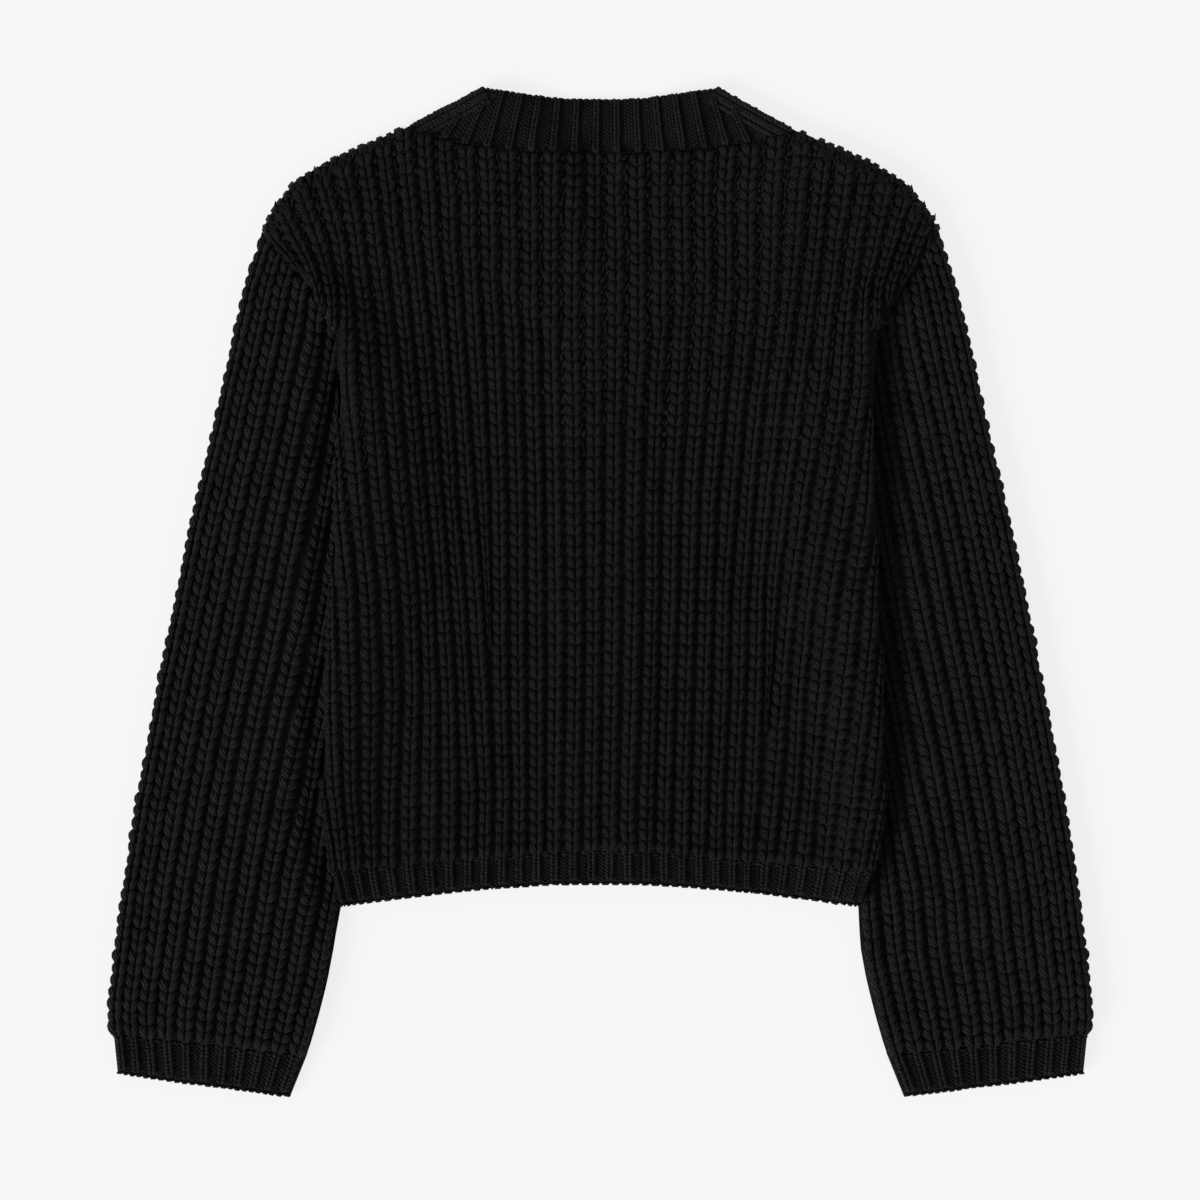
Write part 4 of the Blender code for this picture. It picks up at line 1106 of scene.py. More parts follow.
# Height of the cloth inside a rib, which shows between its stitches, and its roundness.
RELIEF = 2.7
RELIEF_POWER = 0.8


def relief(line, depth):
    """Height of a rounded rib at a line, 0 between ribs."""
    return depth * np.sin(np.pi * (line - np.floor(line))) ** RELIEF_POWER


def bump_spots(lines, rows, side=1.0):
    """A spot for a strand at each line and row."""
    line, row = np.meshgrid(lines, rows)
    return np.stack([line.ravel(), row.ravel(), np.full(line.size, side)], -1)


def rib_spots(ribs, rows):
    """A left and a right leg for each stitch: rib centres and rows."""
    return np.concatenate([bump_spots(ribs, rows, side) for side in (-1.0, 1.0)])


# Part of a row by which ribs drift, and the number of ribs after which the drift repeats.
DRIFT = 0.10
DRIFT_RIBS = 64


def with_drift(spots, seed):
    """Shifts whole ribs up or down by part of a stitch, as rows drift across a knit."""
    drift = np.random.default_rng(seed).normal(0.0, DRIFT, DRIFT_RIBS)
    moved = spots.copy()
    moved[:, 1] += drift[np.floor(spots[:, 0]).astype(int) % DRIFT_RIBS]
    return moved


def on_floor(points):
    """Presses the stitches under the garment flat on what it lies on."""
    points[..., 2] = np.maximum(points[..., 2], STITCH_FLOOR)
    return points


def declare(node):
    """Hides the imported node that a shell and its stitches replace."""
    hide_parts(node)


BODY_LIMITS = ((-BODY_RIBS, BODY_RIBS), (0.0, BODY_STITCHES))
BODY_PITCH = (RIB_WIDTH, STITCH_LENGTH)
BODY_ROWS = np.arange(0.05, BODY_STITCHES - 0.9)
# Loops lie where ribs are further apart than this, this far from a rib's middle, and on
# the shoulders this far from the edge.
LOOP_SPREAD = 13.2
LOOP_CLEAR = 5.4
LOOP_EDGE = 10.0
# Loops are tried from this row up, at steps of lines and rows, each shifted by up to so much.
LOOP_START = 36.0
LOOP_STEPS = (0.16, 0.5)
LOOP_SHIFTS = (0.06, 0.25)
# Power of their distance by which ribs that stand further apart get wider.
RIB_WIDEN = 0.75
# Rows above which a few loops lie in every valley, how near its line, and the random number
# that they pass.
LOOSE_ROWS = 50.0
LOOSE_REACH = 0.12
LOOSE_CHANCE = 0.45
# Distance between the bumps of the shoulders' edge, and how far in from the edge they lie.
SHOULDER_PITCH = 6.6
SHOULDER_INSET = 1.6
# A rib is the last one beside the body's side where its outer line is this close to it.
EDGE_RIB = 3.2
# Rows that have no stitches at the top of the shoulders, and beside the neck point over a
# width.
SHOULDER_CLEAR = 1.7
NECK_POINT_CLEAR = 0.9
NECK_POINT_WIDTH = 5.0
# Width beside the body's side in which the shell has no raised ribs.
SHELL_SIDE = 5.0


def loop_spots():
    """Loops between ribs that stand further apart than elsewhere, and along the shoulders."""
    lines = np.arange(-BODY_RIBS + 0.1, BODY_RIBS, LOOP_STEPS[0])
    line, row, _ = bump_spots(lines, np.arange(LOOP_START, BODY_STITCHES - 0.3, LOOP_STEPS[1])).T
    shift = np.random.default_rng(5).uniform(-1.0, 1.0, (3, line.size))
    line, row = line + LOOP_SHIFTS[0] * shift[0], row + LOOP_SHIFTS[1] * shift[1]
    _, y, _, high = back_plan(line, row)
    centre = np.floor(line) + 0.5
    spread = np.abs(back_x(centre + 0.5, y) - back_x(centre - 0.5, y))
    beside_rib = np.abs(line - centre) * spread > LOOP_CLEAR
    top_x = np.abs(back_x(line, high))
    on_shoulder = (high - y < LOOP_EDGE) & (top_x > NECK_POINT[0] - 0.5 * NECK_BLEND)
    in_valley = np.abs(line - np.round(line)) < LOOSE_REACH
    loose = (row > LOOSE_ROWS) & (shift[2] > LOOSE_CHANCE) & in_valley
    kept = ((spread > LOOP_SPREAD) & beside_rib) | on_shoulder | loose
    return np.stack([line, row, np.ones(line.size)], -1)[kept]


def shoulder_surface(side):
    """Cloth along the edge of a shoulder: bumps out from the neck, and how far in from the edge."""
    edge = BODY_TOP[BODY_TOP.index(NECK_POINT):]
    length = sum(math.dist(near, far) for near, far in zip(edge, edge[1:]))

    def surface(number, inward):
        x, y = along_line(edge, number * SHOULDER_PITCH)
        x0, y0 = along_line(edge, number * SHOULDER_PITCH - 1.0)
        x1, y1 = along_line(edge, number * SHOULDER_PITCH + 1.0)
        span = np.hypot(x1 - x0, y1 - y0)
        x = x + inward * (y1 - y0) / span
        y = y - inward * (x1 - x0) / span
        drop = edge_drop(inward, *SHOULDER_ROUND)
        return np.stack([side * x, y, support(side * x, y) + SHELL - drop], -1)
    return surface, length / SHOULDER_PITCH


def make_back():
    columns = np.linspace(-BODY_RIBS, BODY_RIBS, 8 * BODY_RIBS + 1)
    rows = np.linspace(0.0, BODY_STITCHES, BODY_STITCHES + 1)
    line, row = np.meshgrid(columns, rows)
    outer = back_surface(line, row)
    x, y, _, _ = back_plan(line, row)
    clear = smooth((rib_width(line, y) - NARROW) / NARROW) * (inside_body(x, y) > SHELL_SIDE)
    outer[..., 2] += relief(line, RELIEF) * clear
    inner = back_underside(line, row)
    shell = grid_object("back_shell", outer, inner, valley_wool_painted_light)
    ribs = np.arange(-BODY_RIBS, BODY_RIBS) + 0.5
    spots = with_drift(rib_spots(ribs, BODY_ROWS), 3)
    top_x = np.interp(spots[:, 0], FINE_LINES, np.abs(back_x(FINE_LINES, LINE_HIGH)))
    beside_neck = np.where(top_x < NECK_POINT[0] - NECK_POINT_WIDTH, 0.0, NECK_POINT_CLEAR)
    free = np.where(top_x < NECK_POINT[0], beside_neck, SHOULDER_CLEAR)
    spots = spots[spots[:, 1] < BODY_STITCHES - free]
    y = back_plan(spots[:, 0], spots[:, 1])[1]
    wide = rib_width(spots[:, 0], y) > NARROW
    spots, y = spots[wide], y[wide]
    half = np.sign(spots[:, 0])
    outer_x = np.abs(back_x(spots[:, 0] + HALF_RIB * half, y))
    at_edge = (body_edge(half, y) - outer_x < EDGE_RIB) & (spots[:, 0] * spots[:, 2] > 0.0)
    place = (back_knit, BODY_LIMITS, BODY_PITCH)
    for word, chosen in (("left", spots[:, 0] < 0.0), ("right", spots[:, 0] > 0.0)):
        legs = strands(LEG, ROUND, spots[chosen & ~at_edge], *place, overhang=0.0, widen=RIB_WIDEN)
        side_legs = strands(EDGE_LEG, ROUND, spots[chosen & at_edge], *place, overhang=0.0)
        tucks = strands(TUCK, SQUARE, spots[chosen], *place, overhang=0.0, widen=RIB_WIDEN)
        knitted("back_stitches_" + word, [legs, side_legs, tucks], back_wool)
    valleys = np.arange(-BODY_RIBS + 1, BODY_RIBS).astype(float)
    bumps = bump_spots(valleys, BODY_ROWS)
    x, y, _, _ = back_plan(bumps[:, 0], bumps[:, 1])
    bumps = bumps[inside_body(x, y) > EDGE_RIB]
    bumps = strands(PURL, SQUARE, bumps, *place)
    knitted("back_valleys", [bumps], valley_wool_painted_light)
    loops = [strands(LOOP, SQUARE, loop_spots(), *place, jitter=1.4, overhang=0.0)]
    for side in (-1, 1):
        surface, count = shoulder_surface(side)
        bumps = bump_spots(np.arange(0.5, count), [SHOULDER_INSET])
        limits = ((0.0, count), (0.0, SHOULDER_ROUND[0]))
        loops.append(strands(SHOULDER_BUMP, FIVE, bumps, surface, limits, (SHOULDER_PITCH, 1.0)))
    knitted("back_loops", loops, rib_wool)
    declare("back")


# ---------------------------------------------------------------- fronts

FRONT_ROWS = (
    (-169.8, -183.2), (-105.0, -120.0), (-40.0, -50.0), (20.0, 20.0), (60.0, 60.0),
    (90.0, 90.0), (115.0, 115.0), (135.0, 137.0), (150.0, 155.0), (164.0, 170.6),
    (180.0, 180.0), (200.0, 193.7), (225.0, 206.9), (255.0, 220.0), (285.0, 231.0),
    (306.6, 236.0),
)
FRONT_STEPS = (0.0, 0.2, 0.4, 0.5, 0.58, 0.65, 0.72, 0.78, 0.84, 0.89, 0.94, 0.975, 1.0)
BULGE_START = 0.6
# The fronts have stitches past this distance from the band, where the body is lifted by less
# than this and they can still be seen from below.
FRONT_CLEAR = 5.5
FRONT_LIFTED = 7.0


def front_grid(side):
    """Plan of a front: rows from its hem to its shoulder, steps from its band to its side."""
    step = np.array(FRONT_STEPS)
    last_y = FRONT_ROWS[-1][0]
    top_x = attached_x(last_y) + step * (SHOULDER_POINT[0] - attached_x(last_y))
    bulge = curve(BODY_TOP, top_x) - (last_y + step * (SHOULDER_POINT[1] - last_y))
    rows = []
    for number, (near_y, far_y) in enumerate(FRONT_ROWS):
        near_x = attached_x(near_y) + 0.5 * SEAM_GAP
        x = near_x + step * (body_edge(side, far_y) - near_x)
        y = near_y + step * (far_y - near_y)
        along = number / (len(FRONT_ROWS) - 1)
        if number == 0:
            y = curve(HEM_SEAM, x) + 0.5 * SEAM_GAP
        elif number == len(FRONT_ROWS) - 1:
            y = curve(BODY_TOP, x)
        elif along > BULGE_START:
            y = y + bulge * ((along - BULGE_START) / (1.0 - BULGE_START)) ** 2
        rows.append(np.stack([side * x, y], -1))
    return np.array(rows)


def front_rise(x, y):
    """How far a front's underside rises at its side and its shoulder."""
    to_top = (curve(BODY_TOP, np.abs(x)) - y) * SHOULDER_COSINE
    return np.maximum(edge_drop(inside_body(x, y), *FRONT_ROUND), edge_drop(to_top, *FRONT_ROUND))


def front_under(line, row):
    """Underside of a front between its ribs, which stand on the same lines as the back's."""
    x, y, _, _ = back_plan(line, row)
    return np.stack([x, y, lift(x, y) + UNDER_BASE + front_rise(x, y)], -1)


def make_front(word, side):
    plan = front_grid(side)
    x, y = plan[..., 0], plan[..., 1]
    outer = np.stack([x, y, lift(x, y) + FRONT_WALL], -1)
    inner = np.stack([x, y, lift(x, y) + UNDER_BASE + front_rise(x, y)], -1)
    shell = grid_object("front_%s_shell" % word, outer, inner, valley_wool_painted_light)
    ribs = side * (np.arange(1, BODY_RIBS) + 0.5)
    spots = rib_spots(ribs, BODY_ROWS)
    place = front_under(spots[:, 0], spots[:, 1])
    x, y = np.abs(place[:, 0]), place[:, 1]
    clear = (x > attached_x(y) + FRONT_CLEAR) & (lift(place[:, 0], y) < FRONT_LIFTED)
    clear = clear & (rib_width(spots[:, 0], y) > NARROW)
    ends = (1.0, BODY_RIBS) if side > 0 else (-BODY_RIBS, -1.0)
    limits = (ends, (0.0, BODY_STITCHES))
    legs = strands(UNDER_LEG, FIVE, spots[clear], front_under, limits, BODY_PITCH,
                   scale=(1.0, 1.0, UNDER_SCALE), press_to=on_floor)
    pieces = [knitted("front_%s_stitches" % word, [legs], rib_wool)]
    declare("front_" + word)


# ---------------------------------------------------------------- sleeves

SLEEVE_LIMITS = ((0.0, SLEEVE_RIBS), (0.0, SLEEVE_STITCHES))
# Rows of a sleeve, and share of a trim, that are turned in past its seam.
SEAM_TUCK = 0.45
TRIM_TUCK = -0.05
SLOT_HALF = 0.5
SLOT_INSET = 0.4
UNDER_SCALE = -0.54
# The stitches of the sleeves are wider than those of the back.
SLEEVE_SCALE = (1.2, 1.05, 1.05)
SLEEVE_ROWS = 48
# How far under the body a sleeve's stitches and valley bumps go on, how far outside it they
# are still held down, and by how much they may rise into the gap there.
COVERED_STITCHES = 14.0
COVERED_BUMPS = 6.0
COVER_MARGIN = -1.0
COVER_RISE = 0.9
LOWEST_COVER = 1.0


def covered(x, y, margin, side):
    """True where a sleeve lies further than margin inside the body's edge."""
    low = curve(HEM_EDGE, np.abs(x))
    return (body_edge(side, y) - np.abs(x) > margin) & (y > low + margin)


def make_sleeve(word, side):
    columns = np.linspace(0.0, SLEEVE_RIBS, 8 * SLEEVE_RIBS + 1)
    rows = np.linspace(0.0, SLEEVE_STITCHES + SEAM_TUCK, SLEEVE_ROWS)
    line, row = np.meshgrid(columns, rows)
    above, below = sleeve_surface(side), sleeve_under(side)
    top, under = above(line, row), below(line, row)
    out, up = np.abs(top[..., 0]), top[..., 1]
    limit = np.minimum(SLEEVE_BASE - trough(out, up, side), press(out, up, side)) / SLEEVE_BASE
    slot_top = above(np.clip(line, SLOT_INSET, SLEEVE_RIBS - SLOT_INSET), row)
    slot_under = slot_top.copy()
    slot_top[..., 2] = (SLEEVE_MIDDLE + SLOT_HALF) * limit
    slot_under[..., 2] = (SLEEVE_MIDDLE - SLOT_HALF) * limit
    raised = np.minimum(top[..., 2] + relief(line, RELIEF), press(out, up, side))
    whole = (line > 1.0) & (line < SLEEVE_RIBS - 1.0)
    top[..., 2] = np.where(whole, np.maximum(raised, top[..., 2]), top[..., 2])
    shell = tube_object("sleeve_%s_shell" % word, [top, slot_top, slot_under, under], valley_wool_painted_light)
    ribs = np.arange(SLEEVE_RIBS) + 0.5
    stitches = np.arange(0.1, SLEEVE_STITCHES - 0.3)
    spots = with_drift(rib_spots(ribs, stitches), 11 + side)
    valleys = bump_spots(np.arange(1, SLEEVE_RIBS).astype(float), stitches)

    def uncovered(chosen, margin):
        x, y = sleeve_plan(chosen[:, 0], chosen[:, 1], side)[1:3]
        return chosen[~covered(x, y, margin, side)]

    def under_body(points):
        x, y = np.abs(points[..., 0]), points[..., 1]
        limit = np.maximum(press(x, y, side) + COVER_RISE, LOWEST_COVER)
        inside = covered(x, y, COVER_MARGIN, side)
        points[..., 2] = np.where(inside, np.minimum(points[..., 2], limit), points[..., 2])
        return points

    shown = uncovered(spots, COVERED_STITCHES)
    at_edge = ((shown[:, 0] < 1.0) & (shown[:, 2] < 0.0)) | \
        ((shown[:, 0] > SLEEVE_RIBS - 1) & (shown[:, 2] > 0.0))
    place = (above, SLEEVE_LIMITS, BODY_PITCH, STITCH_STEPS, under_body)
    legs = strands(LEG, ROUND, shown[~at_edge], *place, scale=SLEEVE_SCALE)
    side_legs = strands(EDGE_LEG, ROUND, shown[at_edge], *place)
    tucks = strands(TUCK, SQUARE, shown, *place, scale=SLEEVE_SCALE)
    bumps = strands(PURL, SQUARE, uncovered(valleys, COVERED_BUMPS), *place)
    pressed = strands(UNDER_LEG, FIVE, spots, below, SLEEVE_LIMITS, BODY_PITCH,
                      scale=(1.0, 1.0, UNDER_SCALE), press_to=on_floor)
    pieces = [
        knitted("sleeve_%s_stitches" % word, [legs, side_legs, tucks], rib_wool),
        knitted("sleeve_%s_valleys" % word, [bumps], valley_wool_painted_light),
        knitted("sleeve_%s_under" % word, [pressed], rib_wool),
    ]
    declare("sleeve_" + word)


# ---------------------------------------------------------------- hems, cuffs, neckband and bands

CUFF_PITCH = 11.4
CUFF_SLOT = 0.5
TRIM_UNDER = 1.15
TRIM_UNDER_SCALE = -0.62
TRIM_STEPS = (0.03, 0.02)
TRIM_JITTER = 0.6
# Width of the wales of hem and cuffs, and of the neckband, against TRIM_LEG, and the scale
# of the wales along the neckband's folds.
WALE_SCALE = (1.35, 1.0, 1.0)
NECK_WALE_SCALE = (1.12, 1.0, 1.0)
FOLD_WALE_SCALE = (1.5, 1.3, 0.7)
# Distances of the bumps of the valleys from the middle of a wale.
HEM_BUMPS = (4.3, 6.0, 7.7)
CUFF_BUMPS = (4.2, 5.7, 7.2)
NECK_BUMPS = (3.9, 6.1, 8.3, 10.5)
# Parts of a line at the ends of a trim that have no stitches and no bumps.
STITCH_INSET = 0.05
BUMP_INSET = 0.02
# How far a leg of a trim may pass its ends, as a share of its height.
TRIM_OVERHANG = 0.01


def staggered(lines, rows):
    """Spots of bumps on each set of lines, half a row further on every second set."""
    pitch = rows[1] - rows[0]
    return [bump_spots(line, rows + (0.5 * pitch if number % 2 else 0.0))
            for number, line in enumerate(lines)]


def inside(spots, limits, margin):
    """Spots that lie further than margin from a trim's ends."""
    (a0, a1), _ = limits
    return spots[(spots[:, 0] > a0 + margin) & (spots[:, 0] < a1 - margin)]


def trim(name, surface, limits, pitch, wales, rows, places, below=False, keep=None, press_to=None,
         wide=WALE_SCALE, wide_only=False):
    """The fine ribbing of one trim, as one piece, with its bumps at places beside each wale."""
    legs = rib_spots(wales, rows)
    bumps = np.concatenate(staggered([wales + place / abs(pitch[0]) for place in places], rows))
    if wide_only:
        legs = legs[rib_width(legs[:, 0], HEM_SEAM[-1][1]) > NARROW]
    legs, bumps = inside(legs, limits, STITCH_INSET), inside(bumps, limits, BUMP_INSET)
    if keep is not None:
        legs, bumps = legs[keep(legs)], bumps[keep(bumps)]
    leg, bump = (TRIM_UNDER_LEG, TRIM_UNDER_PURL) if below else (TRIM_LEG, TRIM_PURL)
    scale = (1.0, 1.0, TRIM_UNDER_SCALE) if below else (1.0, 1.0, 1.0)
    leg_scale = scale if below else wide
    parts = [
        strands(leg, FIVE, legs, surface, limits, pitch, TRIM_STEPS, press_to, TRIM_JITTER,
                leg_scale, TRIM_OVERHANG),
        strands(bump, SQUARE, bumps, surface, limits, pitch, TRIM_STEPS, press_to, TRIM_JITTER, scale),
    ]
    return knitted(name, parts, trim_wool)


def share_rows(height, start=0.4, end=1.4):
    """Rows of fine stitches across a trim of a height, as shares of it."""
    count = int((height - start - end) / TRIM_ROW)
    return (start + TRIM_ROW * (np.arange(count) + 0.5)) / height


EDGE_BUMP_PITCH = 5.6
# Rows of bumps of a hem or cuff, as shares of its height: cast-off edge, seam and join.
EDGE_BUMP_SHARES = (0.97, 0.05, -0.02)
FRONT_HEM_STEPS = 57
HEM_EDGE_BUMPS = 62
CUFF_EDGE_BUMPS = 24


def edge_bumps(surface, limits, pitch, share, count):
    """Bumps along a trim at a share of its height, spaced evenly."""
    (a0, a1), _ = limits
    lines = a0 + (a1 - a0) * (np.arange(count) + 0.5) / count
    length = (a1 - a0) * abs(pitch[0]) / count / EDGE_BUMP_PITCH
    return strands(EDGE_BUMP, SQUARE, bump_spots(lines, [share]), surface, limits, pitch, TRIM_STEPS,
                   None, TRIM_JITTER, (length, 1.0, 1.0))


def grid_of(surface, lines, shares):
    """Points of a surface at each line and share."""
    return surface(*np.meshgrid(lines, shares))


EDGE_SHARES = np.array((TRIM_TUCK, 0.0, 0.03, 0.08, 0.2, 0.35, 0.5, 0.65, 0.8, 0.92, 0.97, 1.0))


def make_hems():
    lines = np.linspace(-BODY_RIBS, BODY_RIBS, 4 * BODY_RIBS + 1)
    outer = grid_of(hem_surface, lines, EDGE_SHARES)
    inner = outer.copy()
    inner[..., 2] = support(outer[..., 0], outer[..., 1])
    shell = grid_object("hem_back_shell", outer, inner, valley_trim_painted_light)
    wales = np.arange(-BODY_RIBS, BODY_RIBS) + 0.5
    limits = ((-BODY_RIBS, BODY_RIBS), (0.0, 1.0))
    pitch = (RIB_WIDTH, -HEM_HEIGHT)
    rows = share_rows(HEM_HEIGHT)
    stitches = trim("hem_back_stitches", hem_surface, limits, pitch, wales, rows, HEM_BUMPS,
                    wide_only=True)
    edge = [edge_bumps(hem_surface, limits, pitch, share, HEM_EDGE_BUMPS) for share in EDGE_BUMP_SHARES]
    edge = knitted("hem_back_edge", edge, trim_wool)
    declare("hem_back")
    for word, side in (("left", -1), ("right", 1)):
        start = (BAND_HALF + 0.5 * SEAM_GAP) / RIB_WIDTH
        lines = side * np.linspace(start, BODY_RIBS, FRONT_HEM_STEPS)

        def under(line, share, side=side):
            x, y = hem_plan(line, share)
            return np.stack([x, y, lift(x, y) + TRIM_UNDER], -1)

        inner = grid_of(under, lines, EDGE_SHARES)
        outer = inner.copy()
        outer[..., 2] += FRONT_HEM_WALL - TRIM_UNDER
        shell = grid_object("hem_front_%s_shell" % word, outer, inner, valley_trim_painted_light)
        wales = side * (np.arange(1, BODY_RIBS) + 0.5)
        limits = ((start, BODY_RIBS), (0.0, 1.0)) if side > 0 else ((-BODY_RIBS, -start), (0.0, 1.0))
        stitches = trim("hem_front_%s_stitches" % word, under, limits, pitch, wales, rows, HEM_BUMPS,
                        below=True, press_to=on_floor, wide_only=True)
        declare("hem_front_" + word)


def make_cuff(word, side):
    columns = np.linspace(0.0, SLEEVE_RIBS, 4 * SLEEVE_RIBS + 1)
    above, below = cuff_surface(side), cuff_under(side)
    top = grid_of(above, columns, EDGE_SHARES)
    under = grid_of(below, columns, EDGE_SHARES)
    slot_top = grid_of(above, np.clip(columns, CUFF_SLOT, SLEEVE_RIBS - CUFF_SLOT), EDGE_SHARES)
    slot_under = slot_top.copy()
    slot_top[..., 2] = CUFF_MIDDLE + SLOT_HALF
    slot_under[..., 2] = CUFF_MIDDLE - SLOT_HALF
    shell = tube_object("cuff_%s_shell" % word, [top, slot_top, slot_under, under], valley_trim_painted_light)
    limits = ((0.0, SLEEVE_RIBS), (0.0, 1.0))
    pitch = (CUFF_PITCH, -CUFF_HEIGHT)
    knit = (limits, pitch, np.arange(SLEEVE_RIBS) + 0.5, share_rows(CUFF_HEIGHT), CUFF_BUMPS)
    pieces = [
        trim("cuff_%s_stitches" % word, above, *knit),
        trim("cuff_%s_under" % word, below, *knit, below=True, press_to=on_floor),
    ]
    edge = [edge_bumps(above, limits, pitch, share, CUFF_EDGE_BUMPS) for share in EDGE_BUMP_SHARES]
    pieces.append(knitted("cuff_%s_edge" % word, edge, trim_wool))
    declare("cuff_" + word)


# Width of a wale along the folded corners of the neckband, and the middles of its wales.
EDGE_ROLL = 5.2
EDGE_WALES = (0.75, 1.75)
NECK_WALE_MIDDLES = np.arange(-8, 7) + 0.5
# Bumps that fill the corners between the last wales and the folds: their lines on each side.
CORNER_LINES = (np.arange(-9.1, -7.75, 0.15), np.arange(6.75, 8.6, 0.15))
# Rows of bumps along the neckband: wales at their ends, share of its height, and count.
SEAM_BUMPS = (((-8.0, 7.4), 0.035, 62), ((-8.1, 7.5), -0.02, 62))
TOP_BUMPS = ((-7.0, 6.6), 0.985, 42)
NECK_START = 2.5
FOOT_ROW = 0.02


def fold_surface(side):
    """Neckband beside its folded corner: wales in from the fold, and rows along it."""
    (x0, y0), (x1, y1) = NECK_EDGE[NECK_CORNER], NECK_EDGE[-1]
    length = math.hypot(x1 - x0, y1 - y0)

    def surface(line, row):
        share = row * TRIM_ROW / length
        x = x1 + share * (x0 - x1) - line * EDGE_ROLL * (y0 - y1) / length
        y = y1 + share * (y0 - y1) - line * EDGE_ROLL * (x1 - x0) / length
        drop = edge_drop(fold_distance(x, y), FOLD_ROUND, NECK_BASE - 1.0)
        return np.stack([side * x, y, support(side * x, y) + NECK_BASE - drop], -1)
    return surface, length


def clear_of_fold(spots):
    """True where a stitch of the neckband lies inside the wales that run along its fold."""
    x, y, _ = neck_surface(spots[:, 0], spots[:, 1]).T
    return fold_distance(x, y) > EDGE_ROLL * len(EDGE_WALES) - 1.0


def neck_bumps(pitch, ends, share, count):
    """Bumps along the neckband between two of its wales."""
    return edge_bumps(neck_surface, (ends, (0.0, 1.0)), pitch, share, count)


def make_neckband():
    lines = np.linspace(-NECK_WALES[-1], NECK_WALES[1], 91)
    outer = grid_of(neck_surface, lines, EDGE_SHARES)
    inner = grid_of(neck_underside, lines, EDGE_SHARES)
    shell = grid_object("neckband_shell", outer, inner, valley_trim_painted_light)
    limits = ((-NECK_WALES[-1], NECK_WALES[1]), (0.0, 1.0))
    pitch = (NECK_WALE, NECK_HEIGHT)
    rows = share_rows(NECK_HEIGHT, start=NECK_START)
    stitches = trim("neckband_stitches", neck_surface, limits, pitch, NECK_WALE_MIDDLES, rows,
                    NECK_BUMPS, keep=clear_of_fold, wide=NECK_WALE_SCALE)
    spots = np.concatenate([spots for lines in CORNER_LINES for spots in staggered(lines[:, None], rows)])
    corners = [strands(TRIM_PURL, SQUARE, spots[clear_of_fold(spots)], neck_surface, limits, pitch,
                       TRIM_STEPS, None, TRIM_JITTER)]
    for side in (-1, 1):
        surface, length = fold_surface(side)
        rows = np.arange(0.6, length / TRIM_ROW - 0.8)
        for line in EDGE_WALES:
            corners.append(strands(TRIM_LEG, FIVE, rib_spots([line], rows), surface,
                                   ((0.0, len(EDGE_WALES)), (0.0, length / TRIM_ROW)),
                                   (EDGE_ROLL, TRIM_ROW), TRIM_STEPS, None, TRIM_JITTER,
                                   FOLD_WALE_SCALE))
    corners = knitted("neckband_corners", corners, trim_wool)
    feet = inside(rib_spots(NECK_WALE_MIDDLES, [FOOT_ROW]), limits, STITCH_INSET)
    feet = [strands(FOOT, ROUND, feet, neck_surface, limits, pitch, TRIM_STEPS)]
    seam_bumps = [neck_bumps(pitch, *row) for row in SEAM_BUMPS]
    feet = knitted("neckband_feet", feet + seam_bumps, trim_wool)
    edge = knitted("neckband_edge", [neck_bumps(pitch, *TOP_BUMPS)], trim_wool)
    declare("neckband_back")


def band_lines():
    """Seam edge and free edge of a front band, from the hem to the neck fold."""
    last_seam = NECK_EDGE[-1]
    last_free = NECK_EDGE[NECK_CORNER]
    stretch = (last_free[1] - V_START) / (last_seam[1] - V_START)
    seam = [(attached_x(HEM_EDGE[0][1]) - 0.5 * SEAM_GAP, HEM_EDGE[0][1])]
    free = [(free_x(HEM_EDGE[0][1]), HEM_EDGE[0][1])]
    for near_y, _ in FRONT_ROWS[1:-1]:
        free_y = near_y + max(near_y - V_START, 0.0) * (stretch - 1.0)
        seam.append((attached_x(near_y) - 0.5 * SEAM_GAP, near_y))
        free.append((free_x(free_y), free_y))
    return np.array(seam + [last_seam]), np.array(free + [last_free])


def band_under(side, lowest):
    seam, free = band_lines()
    middle = 0.5 * (seam + free)
    reach = np.concatenate(([0.0], np.cumsum(np.hypot(*(middle[1:] - middle[:-1]).T)))) / NECK_WALE

    def surface(wale, share):
        edges = [np.interp(wale, reach, edge[:, k]) for edge in (seam, free) for k in (0, 1)]
        x = edges[0] + share * (edges[2] - edges[0])
        y = edges[1] + share * (edges[3] - edges[1])
        return np.stack([side * x, y, lowest * band_raise(y) + TRIM_UNDER], -1)
    return surface, float(reach[-1])


def button_heights():
    return [BUTTON_FIRST_Y + BUTTON_PITCH * number for number in range(BUTTON_COUNT)]


def from_buttons(x, y):
    """Distance to the middle of the nearest button."""
    return np.min([np.hypot(x, y - height) for height in button_heights()], axis=0)


# Points along and across a band: with the dimples that its buttons lie in, and plain.
FINE_BAND = (211, 19)
PLAIN_BAND = (71, 9)
# Width of a dimple beside its button, its height over it, and the width without stitches.
DIMPLE_MARGIN = 1.2
DIMPLE_GAP = 0.35
BUTTON_CLEAR = 1.6


